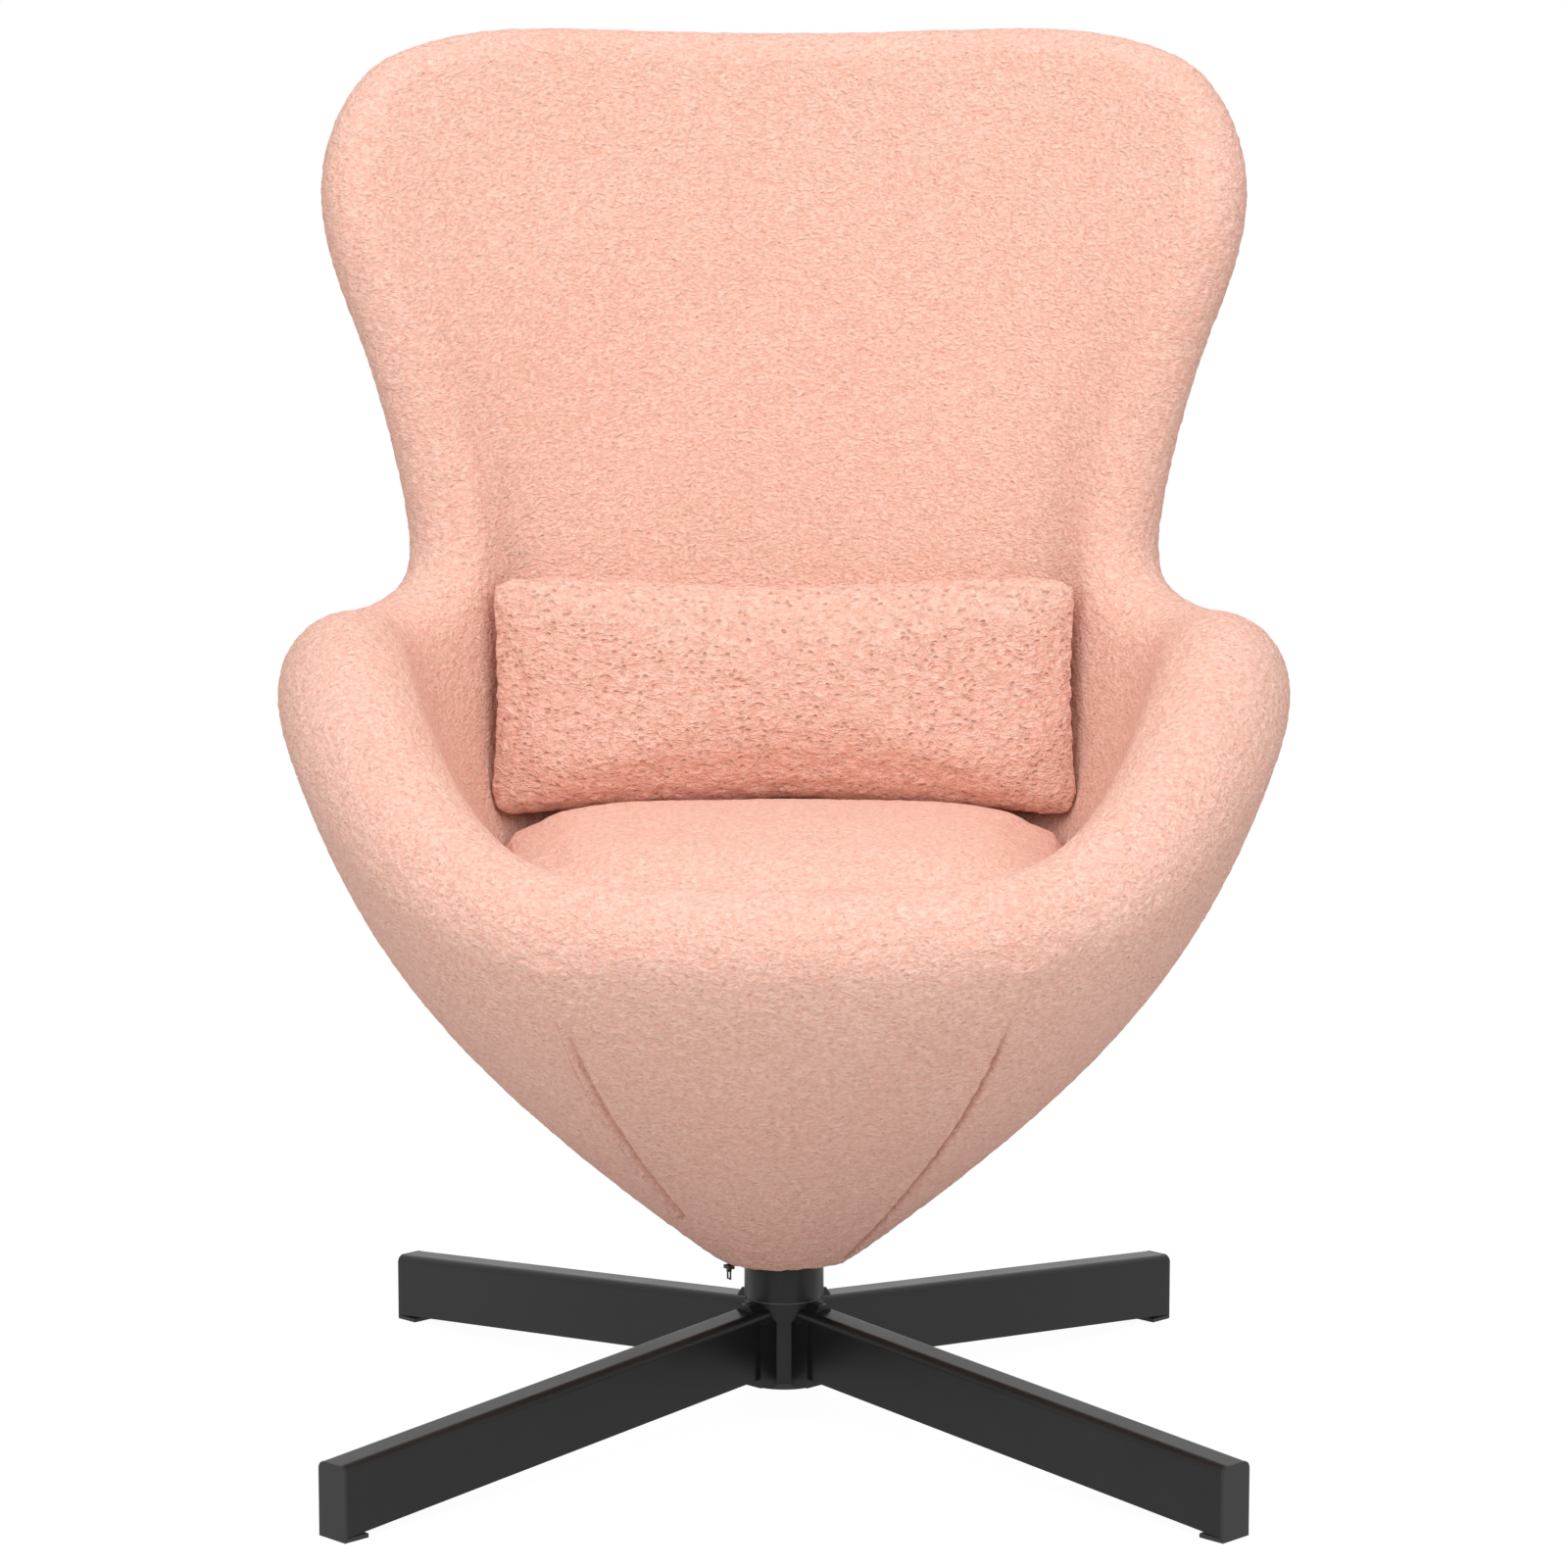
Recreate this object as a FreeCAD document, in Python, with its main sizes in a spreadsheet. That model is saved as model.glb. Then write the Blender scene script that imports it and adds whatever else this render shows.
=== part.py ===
"""Upholstered pod chair on a swivelling four-legged base.

Units are millimetres. The floor is Z = 0, the swivel axis is the Z axis and the
sitter faces -Y. The chair's bowl is drawn by ribs: each rib starts on a small ring
round the column, runs up the outside, over a round rim and down the inside to the pan.
"""

import FreeCAD, Part
import math
import os

Vector = FreeCAD.Vector
Rotation = FreeCAD.Rotation
Placement = FreeCAD.Placement

doc = FreeCAD.newDocument("pod_chair")
sheet = doc.addObject("Spreadsheet::Sheet", "dims")

# Sizes of the base, the swivel and the hardware
SIZES = {
    "column_diameter": 60.0,
    "sleeve_wall": 2.0,
    "hub_bottom": 33.0,
    "hub_top": 94.0,
    "hub_bore": 40.0,
    "socket_reach": 41.5,
    "socket_wall": 3.0,
    "socket_arch": 13.0,
    "disc_thickness": 4.0,
    "leg_width": 28.0,
    "leg_height": 50.0,
    "leg_wall": 2.0,
    "leg_corner": 6.0,
    "leg_root": 22.0,
    "leg_reach": 435.6,
    "leg_top_at_hub": 89.0,
    "leg_top_at_end": 53.5,
    "leg_azimuth": 45.0,
    "foot_plate": 2.4,
    "foot_pad_length": 20.8,
    "foot_pad_height": 3.2,
    "foot_plug_depth": 15.0,
    "fit_clearance": 0.1,
    "screw_diameter": 6.0,
    "screw_radius": 34.5,
    "screw_length": 5.5,
    "washer_thickness": 1.0,
    "spindle_diameter": 25.0,
    "bush_length": 22.0,
    "bush_clearance": 0.05,
    "running_gap": 0.3,
    "clip_diameter": 34.0,
    "clip_thickness": 2.0,
    "spindle_tail": 3.0,
    "groove_depth": 1.5,
    "plate_size": 98.0,
    "plate_thickness": 4.0,
    "plate_corner": 14.0,
    "bolt_spacing": 70.0,
    "bolt_diameter": 8.0,
    "bolt_head_diameter": 13.0,
    "bolt_head_height": 5.0,
    "nut_barrel_diameter": 12.0,
    "nut_flange_diameter": 18.0,
    "nut_flange_thickness": 1.2,
    "board_thickness": 12.0,
    "board_clearance": 6.0,
    "trim_thickness": 3.0,
    "trim_clearance": 0.3,
    "trim_inset": 2.2,
    "slider_width": 8.0,
    "slider_depth": 5.0,
    "slider_height": 2.6,
    "slider_azimuth": -58.0,
    "puller_width": 5.0,
    "puller_length": 8.0,
    "puller_wire": 1.0,
    "ring_radius": 51.0,
    "ring_height": 124.0,
    "ring_hem": 5.0,
    "ring_rise": 37.0,
    "pan_radius": 130.0,
    "pan_height": 352.0,
    "pan_centre": -50.0,
    "pan_rise": 7.0,
    "shell_thickness": 8.0,
    "shell_share_at_pan": 0.22,
    "shell_share_low": 0.33,
    "shell_share_high": 0.41,
    "shell_share_at_rim": 0.50,
    "layer_gap": 0.3,
    "cushion_seat_gap": 0.3,
    "cushion_side_gap": 5.5,
    "cushion_low": 380.0,
    "cushion_waist": 405.0,
    "cushion_shoulder": 430.0,
    "cushion_crown": 466.0,
    "cushion_drawn_in": 3.0,
    "cover_thickness": 3.0,
    "pillow_width": 454.0,
    "pillow_height": 202.0,
    "pillow_thickness": 104.0,
    "pillow_lean": 14.0,
    "pillow_centre_height": 535.5,
    "pillow_back_gap": 7.5,
    "pillow_side_draw": 6.0,
    "pillow_top_sag": 11.0,
    "pillow_bottom_arch": 24.0,
    "pillow_wrap": 30.0,
}

# Stations of the rim from the front middle round the sitter's right side to the top
# ring and pan are compass angles from the front on the lower ring and on the pan,
# x y z is the middle of the rim's roll and roll its radius, wall_x y z is a point in
# the middle of the wall below the rim, and the last five shape the rib between them.
FIELDS = ("ring", "pan", "x", "y", "z", "roll", "wall_x", "wall_y", "wall_z",
          "foot_pull", "back_pull", "seat_pull", "inner_pull", "lead")
STATIONS = {
    "front": (0, 0, 0, -308, 408, 42, 0, -292, 370, 190, 1.5, 70, 0.8, 0),
    "seam": (58, 28, 147, -292, 413, 43, 139, -275, 372, 202, 1.45, 76, 0.8, 33),
    "corner": (68, 46, 214, -252, 432, 45, 200, -232, 380, 225, 1.3, 80, 0.8, 50),
    "arm_low": (76, 64, 270, -180, 478, 48, 248, -165, 402, 270, 1.1, 74, 0.8, 66),
    "arm_top": (87, 88, 321, -40, 558, 52, 290, -42, 466, 300, 1.1, 75, 0.9, 84),
    "arm_rear": (99, 102, 304, 55, 566, 47, 277, 55, 485, 300, 1.2, 105, 0.9, 98),
    "neck": (108, 113, 263, 118, 594, 41, 243, 130, 540, 290, 1.6, 150, 0.9, 107),
    "waist": (118, 125, 255, 150, 670, 37, 200, 200, 640, 300, 1.3, 160, 0.9, 117),
    "wing_low": (128, 138, 282, 160, 785, 34, 170, 230, 735, 330, 1.1, 118, 0.9, 126),
    "wing": (140, 151, 326, 166, 905, 32, 144, 249, 800, 370, 0.9, 90, 0.9, 138),
    "shoulder": (154, 163, 287, 218, 1008, 32, 105, 258, 830, 400, 1.2, 72, 0.9, 153),
    "top_side": (167, 172, 140, 264, 1020, 32, 52, 262, 838, 380, 1.6, 72, 0.9, 166),
    "top": (180, 180, 0, 276, 1018, 32, 0, 262, 838, 380, 1.8, 72, 0.9, 180),
}

SPAN_STEPS = (2, 2, 2, 3, 3, 2, 2, 2, 3, 4, 2, 2)
RIB_STEPS = (0.0, 0.15, 0.3, 0.46, 0.63, 0.82, 1.0)
ROLL_STEPS = 8
RIM_PACE = 0.6
CROWN_RINGS = (0.96, 0.86, 0.68, 0.38)
CROWN_POWER = 2.6
PILLOW_POINTS = 40
PILLOW_CORNER = 0.28
PILLOW_RINGS = (0.95, 0.83, 0.62, 0.34)
LEG_SIDES = (("front_right", -1), ("rear_right", 1), ("rear_left", 3), ("front_left", -3))


def fill_sheet():
    """Write every driving size into the sheet, one aliased cell each."""
    cells = dict(SIZES)
    for station, values in STATIONS.items():
        for field, value in zip(FIELDS, values):
            cells[f"{station}_{field}"] = value
    for row, (alias, value) in enumerate(cells.items(), start=1):
        sheet.set(f"A{row}", alias)
        sheet.set(f"B{row}", str(value))
        sheet.setAlias(f"B{row}", alias)
    doc.recompute()


def size(alias):
    """Read one driving size back from the sheet."""
    return float(sheet.get(alias))


def bind(item, **expressions):
    """Tie properties of a document object to expressions on the sheet's cells."""
    for name, expression in expressions.items():
        item.setExpression(name, expression)
    return item


def cylinder(name, radius, height, base=Vector(0, 0, 0), turn=Rotation()):
    """Add a Part::Cylinder whose radius and height follow the sheet."""
    item = doc.addObject("Part::Cylinder", name)
    bind(item, Radius=radius, Height=height)
    item.Placement = Placement(base, turn)
    return item


def prism(name, radius, height, base, sides=6):
    """Add an upright Part::Prism whose radius and height follow the sheet."""
    item = doc.addObject("Part::Prism", name)
    item.Polygon = sides
    bind(item, Circumradius=radius, Height=height)
    item.Placement = Placement(base, Rotation())
    return item


def pin(name, radius, height, base):
    """Add a small round bar as a twelve-sided prism."""
    return prism(name, radius, height, base, 12)


def box(name, length, width, height, place):
    """Add a Part::Box whose three sizes follow the sheet."""
    item = doc.addObject("Part::Box", name)
    bind(item, Length=length, Width=width, Height=height)
    item.Placement = place
    return item


def fuse(name, shapes):
    """Join several objects into one."""
    item = doc.addObject("Part::MultiFuse", name)
    item.Shapes = shapes
    item.Refine = True
    return item


def cut(name, base, tool):
    """Take one object away from another."""
    item = doc.addObject("Part::Cut", name)
    item.Base = base
    item.Tool = tool
    item.Refine = True
    return item


def common(name, base, tool):
    """Keep what two objects share."""
    item = doc.addObject("Part::Common", name)
    item.Base = base
    item.Tool = tool
    return item


def rounded(name, base, radius, chosen):
    """Fillet the edges of base for which chosen(edge) is true."""
    doc.recompute()
    item = doc.addObject("Part::Fillet", name)
    item.Base = base
    edges = [i for i, edge in enumerate(base.Shape.Edges, start=1) if chosen(edge)]
    item.Edges = [(i, radius, radius) for i in edges]
    return item


def bevelled(name, base, depth, chosen):
    """Chamfer the edges of base for which chosen(edge) is true."""
    doc.recompute()
    item = doc.addObject("Part::Chamfer", name)
    item.Base = base
    edges = [i for i, edge in enumerate(base.Shape.Edges, start=1) if chosen(edge)]
    item.Edges = [(i, depth, depth) for i in edges]
    return item


def along(edge, direction):
    """Tell whether a straight edge runs along a direction."""
    if not isinstance(edge.Curve, Part.Line):
        return False
    return abs(edge.tangentAt(edge.FirstParameter).dot(direction)) > 0.999


def compass(angle):
    """Level unit vector at a compass angle from the front, positive to +X."""
    turn = math.radians(angle)
    return Vector(math.sin(turn), -math.cos(turn), 0)


nodes = {}


def keep(name, item):
    """Give a finished sub-part its label and list it for writing."""
    item.Label = name
    nodes[name] = item
    return item


# Base

def build_hub():
    """Round hub with four arched sockets, bored for the swivel bushes."""
    z_low = size("hub_bottom")
    height = "dims.hub_top - dims.hub_bottom"
    core = cylinder("hub_core", "dims.column_diameter / 2", height, Vector(0, 0, z_low))
    width = size("leg_width") + 2 * size("socket_wall")
    bodies = [core]
    tools = [cylinder("hub_bore_tool", "dims.hub_bore / 2", height, Vector(0, 0, z_low))]
    for side, quarter in LEG_SIDES:
        turn = Rotation(Vector(0, 0, 1), quarter * size("leg_azimuth"))
        place = Placement(Vector(0, 0, 0), turn) * Placement(Vector(0, -width / 2, z_low), Rotation())
        block = box(f"socket_block_{side}", "dims.socket_reach", "dims.leg_width + 2 * dims.socket_wall",
                    height, place)
        axis = turn.multVec(Vector(1, 0, 0))
        arch = bevelled(f"socket_{side}", block, size("socket_arch"),
                        lambda edge: along(edge, axis) and edge.CenterOfMass.z > z_low + 1)
        bodies.append(arch)
        tools.append(leg_bar(f"pocket_{side}", size("fit_clearance"), turn))
        hole = compass(quarter * size("leg_azimuth") + 90) * size("screw_radius")
        tools.append(pin(f"screw_hole_{side}", "dims.screw_diameter / 2 + dims.fit_clearance / 2",
                         "dims.disc_thickness * 3", Vector(hole.x, hole.y, z_low - 1)))
    solid = fuse("hub_solid", bodies)
    return keep("base_hub", cut("base_hub", solid, fuse("hub_tools", tools)))


def leg_slope():
    """Angle by which a leg falls from the hub to its end, in degrees."""
    fall = size("leg_top_at_hub") - size("leg_top_at_end")
    return math.degrees(math.atan2(fall, size("leg_reach") - size("socket_reach")))


def leg_frame(turn):
    """Placement whose X runs down the top of a leg, with the leg below it."""
    top = Placement(Vector(size("socket_reach"), 0, size("leg_top_at_hub")),
                    Rotation(Vector(0, 1, 0), leg_slope()))
    return Placement(Vector(0, 0, 0), turn) * top


def leg_bar(name, margin, turn):
    """Solid bar of the leg's outline, grown by a margin, long past both ends."""
    frame = leg_frame(turn)
    start = size("leg_root") - size("socket_reach")
    place = frame * Placement(Vector(start, -size("leg_width") / 2 - margin, -size("leg_height") - margin),
                              Rotation())
    bar = box(f"{name}_bar", "dims.leg_reach", f"dims.leg_width + {2 * margin}",
              f"dims.leg_height + {2 * margin}", place)
    axis = frame.Rotation.multVec(Vector(1, 0, 0))
    return rounded(name, bar, size("leg_corner"),
                   lambda edge: along(edge, axis) and above(edge, frame, -size("leg_height") / 2))


def above(edge, frame, level):
    """Tell whether an edge lies above a level of the leg's frame."""
    return frame.inverse().multVec(edge.CenterOfMass).z > level


def build_leg(side, quarter):
    """Sloping steel tube, cut upright at both ends."""
    turn = Rotation(Vector(0, 0, 1), quarter * size("leg_azimuth"))
    outer = leg_bar(f"leg_outer_{side}", 0.0, turn)
    frame = leg_frame(turn)
    wall = size("leg_wall")
    inner_place = frame * Placement(
        Vector(size("leg_root") - size("socket_reach") - wall, -size("leg_width") / 2 + wall,
               -size("leg_height") + wall), Rotation())
    inner = box(f"leg_inner_{side}", "dims.leg_reach * 1.1", "dims.leg_width - 2 * dims.leg_wall",
                "dims.leg_height - 2 * dims.leg_wall", inner_place)
    tube = cut(f"leg_tube_{side}", outer, inner)
    slab = box(f"leg_slab_{side}", "dims.leg_reach - dims.leg_root", "dims.leg_width * 2",
               "dims.hub_top * 2",
               Placement(Vector(0, 0, 0), turn)
               * Placement(Vector(size("leg_root"), -size("leg_width"), -size("hub_top") / 2), Rotation()))
    return keep(f"leg_{side}", common(f"leg_{side}", tube, slab))


def build_foot(side, quarter):
    """Plastic end cap: upright plate, a pad under the tube and a plug inside it."""
    turn = Rotation(Vector(0, 0, 1), quarter * size("leg_azimuth"))
    spin = Placement(Vector(0, 0, 0), turn)
    reach = size("leg_reach")
    half = size("leg_width") / 2
    plate = box(f"foot_plate_{side}", "dims.foot_plate", "dims.leg_width", "dims.leg_top_at_end",
                spin * Placement(Vector(reach, -half, 0), Rotation()))
    axis = turn.multVec(Vector(1, 0, 0))
    face = rounded(f"foot_face_{side}", plate, size("leg_corner"),
                   lambda edge: along(edge, axis) and edge.CenterOfMass.z > 1)
    pad_start = reach + size("foot_plate") - size("foot_pad_length")
    pad = box(f"foot_pad_{side}", "dims.foot_pad_length", "dims.leg_width", "dims.foot_pad_height - 0.2",
              spin * Placement(Vector(pad_start, -half, 0), Rotation()))
    slack = size("fit_clearance")
    wall = size("leg_wall")
    plug_place = leg_frame(turn) * Placement(
        Vector(reach - size("socket_reach") - size("foot_plug_depth"), -half + wall + slack,
               -size("leg_height") + wall + slack), Rotation())
    plug = box(f"foot_plug_{side}", "dims.foot_plug_depth * 2",
               "dims.leg_width - 2 * dims.leg_wall - 2 * dims.fit_clearance",
               "dims.leg_height - 2 * dims.leg_wall - 2 * dims.fit_clearance", plug_place)
    room = box(f"foot_room_{side}", "dims.leg_reach", "dims.leg_width * 2", "dims.hub_top * 2",
               spin * Placement(Vector(0, -2 * half, -size("hub_top") / 2), Rotation()))
    held = common(f"foot_plug_end_{side}", plug, room)
    return keep(f"foot_{side}", fuse(f"foot_{side}", [face, pad, held]))


def build_base():
    """Hub, legs, feet, bushes, screws, washer and the disc that closes the hub."""
    build_hub()
    screws = []
    for side, quarter in LEG_SIDES:
        build_leg(side, quarter)
        build_foot(side, quarter)
        spot = compass(quarter * size("leg_azimuth") + 90) * size("screw_radius")
        screws.append(pin(f"screw_{side}", "dims.screw_diameter / 2 - dims.fit_clearance / 2",
                          "dims.screw_length", Vector(spot.x, spot.y, size("hub_bottom"))))
    keep("leg_screws", fuse("leg_screws", screws))
    disc = cylinder("hub_bottom_disc", "dims.column_diameter / 2", "dims.disc_thickness",
                    Vector(0, 0, size("hub_bottom") - size("disc_thickness")))
    keep("hub_bottom_disc", disc)
    bush_tops = {"upper_bush": size("hub_top"),
                 "lower_bush": clip_top() + size("running_gap") + size("bush_length")}
    for name, top in bush_tops.items():
        base = Vector(0, 0, top - size("bush_length"))
        outer = cylinder(f"{name}_outer", "dims.hub_bore / 2 - dims.fit_clearance / 2",
                         "dims.bush_length", base)
        bore = cylinder(f"{name}_bore", "dims.spindle_diameter / 2 + dims.bush_clearance",
                        "dims.bush_length", base)
        keep(name, cut(name, outer, bore))
    top = Vector(0, 0, size("hub_top"))
    ring = cylinder("washer_ring", "dims.column_diameter / 2 - 1", "dims.washer_thickness", top)
    eye = cylinder("washer_eye", "dims.spindle_diameter / 2 + 1", "dims.washer_thickness", top)
    keep("thrust_washer", cut("thrust_washer", ring, eye))


def clip_top():
    """Height of the top of the spindle's retaining clip."""
    return spindle_low() + size("spindle_tail") + size("clip_thickness")


def spindle_low():
    """Height of the spindle's foot, just clear of the disc that closes the hub."""
    return size("hub_bottom") + size("running_gap")


# Swivel

def build_swivel():
    """Spindle, clip, sleeve, plate, bolts and tee nuts that carry the bowl."""
    seat = board_bottom()
    plate_low = seat - size("plate_thickness")
    tail = spindle_low()
    rod = cylinder("spindle_rod", "dims.spindle_diameter / 2", f"{plate_low} - {tail}", Vector(0, 0, tail))
    clip_low = Vector(0, 0, clip_top() - size("clip_thickness"))
    groove_ring = cylinder("spindle_groove_ring", "dims.spindle_diameter / 2 + 1", "dims.clip_thickness",
                           clip_low)
    groove_core = prism("spindle_groove_core", "dims.spindle_diameter / 2 - dims.groove_depth",
                        "dims.clip_thickness", clip_low)
    groove = cut("spindle_groove", groove_ring, groove_core)
    keep("swivel_spindle", cut("swivel_spindle", rod, groove))
    clip = prism("clip_ring", "dims.clip_diameter / 2", "dims.clip_thickness", clip_low)
    clip_eye = prism("clip_eye", "dims.spindle_diameter / 2 - dims.groove_depth + dims.fit_clearance",
                     "dims.clip_thickness", clip_low)
    keep("spindle_clip", cut("spindle_clip", clip, clip_eye))
    low = Vector(0, 0, sleeve_low())
    skin = cylinder("sleeve_skin", "dims.column_diameter / 2", f"{plate_low} - {sleeve_low()}", low)
    bore = cylinder("sleeve_bore", "dims.column_diameter / 2 - dims.sleeve_wall",
                    f"{plate_low} - {sleeve_low()}", low)
    keep("column_sleeve", cut("column_sleeve", skin, bore))
    half = size("plate_size") / 2
    sheet_metal = box("plate_blank", "dims.plate_size", "dims.plate_size", "dims.plate_thickness",
                      Placement(Vector(-half, -half, plate_low), Rotation()))
    blank = bevelled("plate_bevelled", sheet_metal, size("plate_corner"),
                     lambda edge: along(edge, Vector(0, 0, 1)))
    spots = [Vector(x * size("bolt_spacing") / 2, y * size("bolt_spacing") / 2, 0)
             for x in (-1, 1) for y in (-1, 1)]
    holes, bolts, nuts, recesses = [], [], [], []
    nut_top = seat + size("board_thickness")
    for i, spot in enumerate(spots):
        holes.append(pin(f"plate_hole_{i}", "dims.bolt_diameter / 2 + dims.fit_clearance",
                         "dims.plate_thickness", spot + Vector(0, 0, plate_low)))
        head = prism(f"bolt_head_{i}", "dims.bolt_head_diameter / 2", "dims.bolt_head_height",
                     spot + Vector(0, 0, plate_low - size("bolt_head_height")))
        shank = pin(f"bolt_shank_{i}", "dims.bolt_diameter / 2",
                    "dims.plate_thickness + dims.board_thickness - 2", spot + Vector(0, 0, plate_low))
        bolts.append(fuse(f"bolt_{i}", [head, shank]))
        barrel = prism(f"nut_barrel_{i}", "dims.nut_barrel_diameter / 2", "dims.board_thickness",
                       spot + Vector(0, 0, seat))
        flange_low = nut_top - size("nut_flange_thickness")
        flange = prism(f"nut_flange_{i}", "dims.nut_flange_diameter / 2", "dims.nut_flange_thickness",
                       spot + Vector(0, 0, flange_low))
        thread = pin(f"nut_thread_{i}", "dims.bolt_diameter / 2 + dims.fit_clearance / 2",
                     "dims.board_thickness", spot + Vector(0, 0, seat))
        nuts.append(cut(f"nut_{i}", fuse(f"nut_solid_{i}", [barrel, flange]), thread))
        recesses.append(prism(f"recess_{i}", "dims.nut_barrel_diameter / 2 + dims.fit_clearance",
                              "dims.board_thickness", spot + Vector(0, 0, seat)))
        recesses.append(prism(f"counter_{i}", "dims.nut_flange_diameter / 2 + dims.fit_clearance",
                              "dims.nut_flange_thickness", spot + Vector(0, 0, flange_low)))
    keep("seat_plate", cut("seat_plate", blank, fuse("plate_holes", holes)))
    keep("plate_bolts", fuse("plate_bolts", bolts))
    keep("tee_nuts", fuse("tee_nuts", nuts))
    board = doc.addObject("Part::Cylinder", "board_blank")
    board.Radius = board_radius()
    bind(board, Height="dims.board_thickness")
    board.Placement = Placement(Vector(0, shell_mouth()[1], seat), Rotation())
    keep("seat_board", cut("seat_board", board, fuse("board_recesses", recesses)))
    trim_low = Vector(0, 0, size("ring_height") + 0.5)
    trim = prism("trim_blank", "dims.ring_radius - dims.ring_hem - dims.trim_inset",
                 "dims.trim_thickness", trim_low, 48)
    eye = prism("trim_eye", "dims.column_diameter / 2 + dims.trim_clearance", "dims.trim_thickness",
                trim_low, 48)
    keep("bottom_trim_ring", cut("bottom_trim_ring", trim, eye))


def sleeve_low():
    """Height of the sleeve's lower edge, just clear of the thrust washer."""
    return size("hub_top") + size("washer_thickness") + size("running_gap") / 3


def shell_mouth():
    """Radius, centre and height of the shell's lower opening, at its outer face."""
    span = pan_to_ring_length()
    share = size("shell_share_at_pan") + size("shell_thickness") / 2 / span
    radius = size("pan_radius") + share * (size("ring_radius") - size("pan_radius"))
    centre = size("pan_centre") * (1 - share)
    height = size("pan_height") + share * (size("ring_height") - size("pan_height"))
    return radius, centre, height


def pan_to_ring_length():
    """Slant length from the pan's edge down to the lower ring, at the side."""
    return math.hypot(size("pan_radius") - size("ring_radius"), size("pan_height") - size("ring_height"))


def board_radius():
    """The board fills the shell's lower opening, clear of the cover that narrows below it."""
    return shell_mouth()[0] - size("board_clearance")


def board_bottom():
    """The board's top meets the underside of the inner upholstery."""
    share = size("shell_share_at_pan") - (size("shell_thickness") / 2 + size("layer_gap")) / pan_to_ring_length()
    top = size("pan_height") + share * (size("ring_height") - size("pan_height")) - 3 * size("layer_gap")
    return top - size("board_thickness")


# Bowl

def mirrored(points):
    """Carry a half loop of points round to the other side of the chair."""
    return points + [Vector(-p.x, p.y, p.z) for p in reversed(points[1:-1])]


def rim_pace(points):
    """Parameters for a closed loop, spaced by a power of the distance."""
    pace = [0.0]
    for here, there in zip(points, points[1:] + points[:1]):
        pace.append(pace[-1] + (there - here).Length ** RIM_PACE)
    return pace


def closed_curve(points, pace):
    """Smooth closed curve through a loop of points."""
    curve = Part.BSplineCurve()
    curve.interpolate(Points=points, PeriodicFlag=True, Parameters=pace)
    return curve


def station_poles():
    """Control points of the outer rib, the roll and the inner rib at each station."""
    names = list(STATIONS)
    rim = mirrored([Vector(*[size(f"{n}_{axis}") for axis in "xyz"]) for n in names])
    pace = rim_pace(rim)
    curve = closed_curve(rim, pace)
    up = Vector(0, 0, 1)
    poles = []
    for i, name in enumerate(names):
        tangent = curve.tangent(pace[i])[0]
        wall = Vector(*[size(f"{name}_wall_{axis}") for axis in "xyz"])
        rise = rim[i] - wall
        depth = rise.Length
        rise = rise / depth
        out = tangent.cross(rise).normalize()
        tip = rise / rise.dot(out.cross(tangent).normalize())
        roll = size(f"{name}_roll")
        foot = compass(size(f"{name}_ring")) * size("ring_radius") + up * size("ring_height")
        lean = math.radians(size("ring_rise"))
        lead = compass(size(f"{name}_lead")) * math.cos(lean) + up * math.sin(lean)
        pan_way = compass(size(f"{name}_pan"))
        pan = pan_way * size("pan_radius") + Vector(0, size("pan_centre"), size("pan_height"))
        lift = math.radians(size("pan_rise"))
        sweep = pan_way * math.cos(lift) + up * math.sin(lift)
        outer_end = rim[i] + out * roll
        inner_end = rim[i] - out * roll
        poles.append({
            "outer": [foot, foot + lead * size(f"{name}_foot_pull"),
                      outer_end - rise * depth * size(f"{name}_back_pull"), outer_end],
            "roll": [outer_end, outer_end + tip * 2 * roll, inner_end + tip * 2 * roll, inner_end],
            "inner": [pan, pan + sweep * size(f"{name}_seat_pull"),
                      inner_end - rise * depth * size(f"{name}_inner_pull"), inner_end],
        })
    return poles, pace


def all_ribs():
    """Control points of every rib round the bowl, with steps between the stations."""
    poles, pace = station_poles()
    params = []
    for start, end, steps in zip(pace, pace[1:], SPAN_STEPS + SPAN_STEPS[::-1]):
        params += [start + (end - start) * k / steps for k in range(steps)]
    ribs = [{} for _ in params]
    for part in ("outer", "roll", "inner"):
        curves = [closed_curve(mirrored([p[part][k] for p in poles]), pace) for k in range(4)]
        for rib, param in zip(ribs, params):
            rib[part] = [curve.value(param) for curve in curves]
    return ribs


def cubic(poles, step, weights=(1, 1, 1, 1)):
    """Point on a cubic arc given by four control points, weighted for a true half round."""
    rest = 1 - step
    shares = [rest ** 3, 3 * rest ** 2 * step, 3 * rest * step ** 2, step ** 3]
    shares = [share * weight for share, weight in zip(shares, weights)]
    total = sum(shares)
    point = Vector(0, 0, 0)
    for pole, share in zip(poles, shares):
        point = point + pole * (share / total)
    return point


def layer_poles(rib, offset):
    """Control points of a rib of the shell's mid surface, moved outwards by an offset."""
    shares = [size(f"shell_share_{place}") for place in ("at_pan", "low", "high", "at_rim")]
    result = []
    for inner, outer, share in zip(rib["inner"], rib["outer"], shares):
        way = outer - inner
        result.append(inner + way * (share + offset / way.Length))
    return result


def rib_points(poles, top_gap=0.0):
    """Points up a rib, stopping a small gap short of the rim."""
    last = 1 - top_gap / (3 * (poles[3] - poles[2]).Length)
    return [cubic(poles, step * last) for step in RIB_STEPS]


def roll_points(rib):
    """Points over the rim's half round, without its two ends."""
    third = 1 / 3
    steps = [k / ROLL_STEPS for k in range(1, ROLL_STEPS)]
    return [cubic(rib["roll"], step, (1, third, third, 1)) for step in steps]


def halves(a, b, c, d, first):
    """Two triangles of a four-cornered panel, parted along its first or second diagonal."""
    return [(a, b, c), (a, c, d)] if first else [(a, b, d), (b, c, d)]


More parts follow.
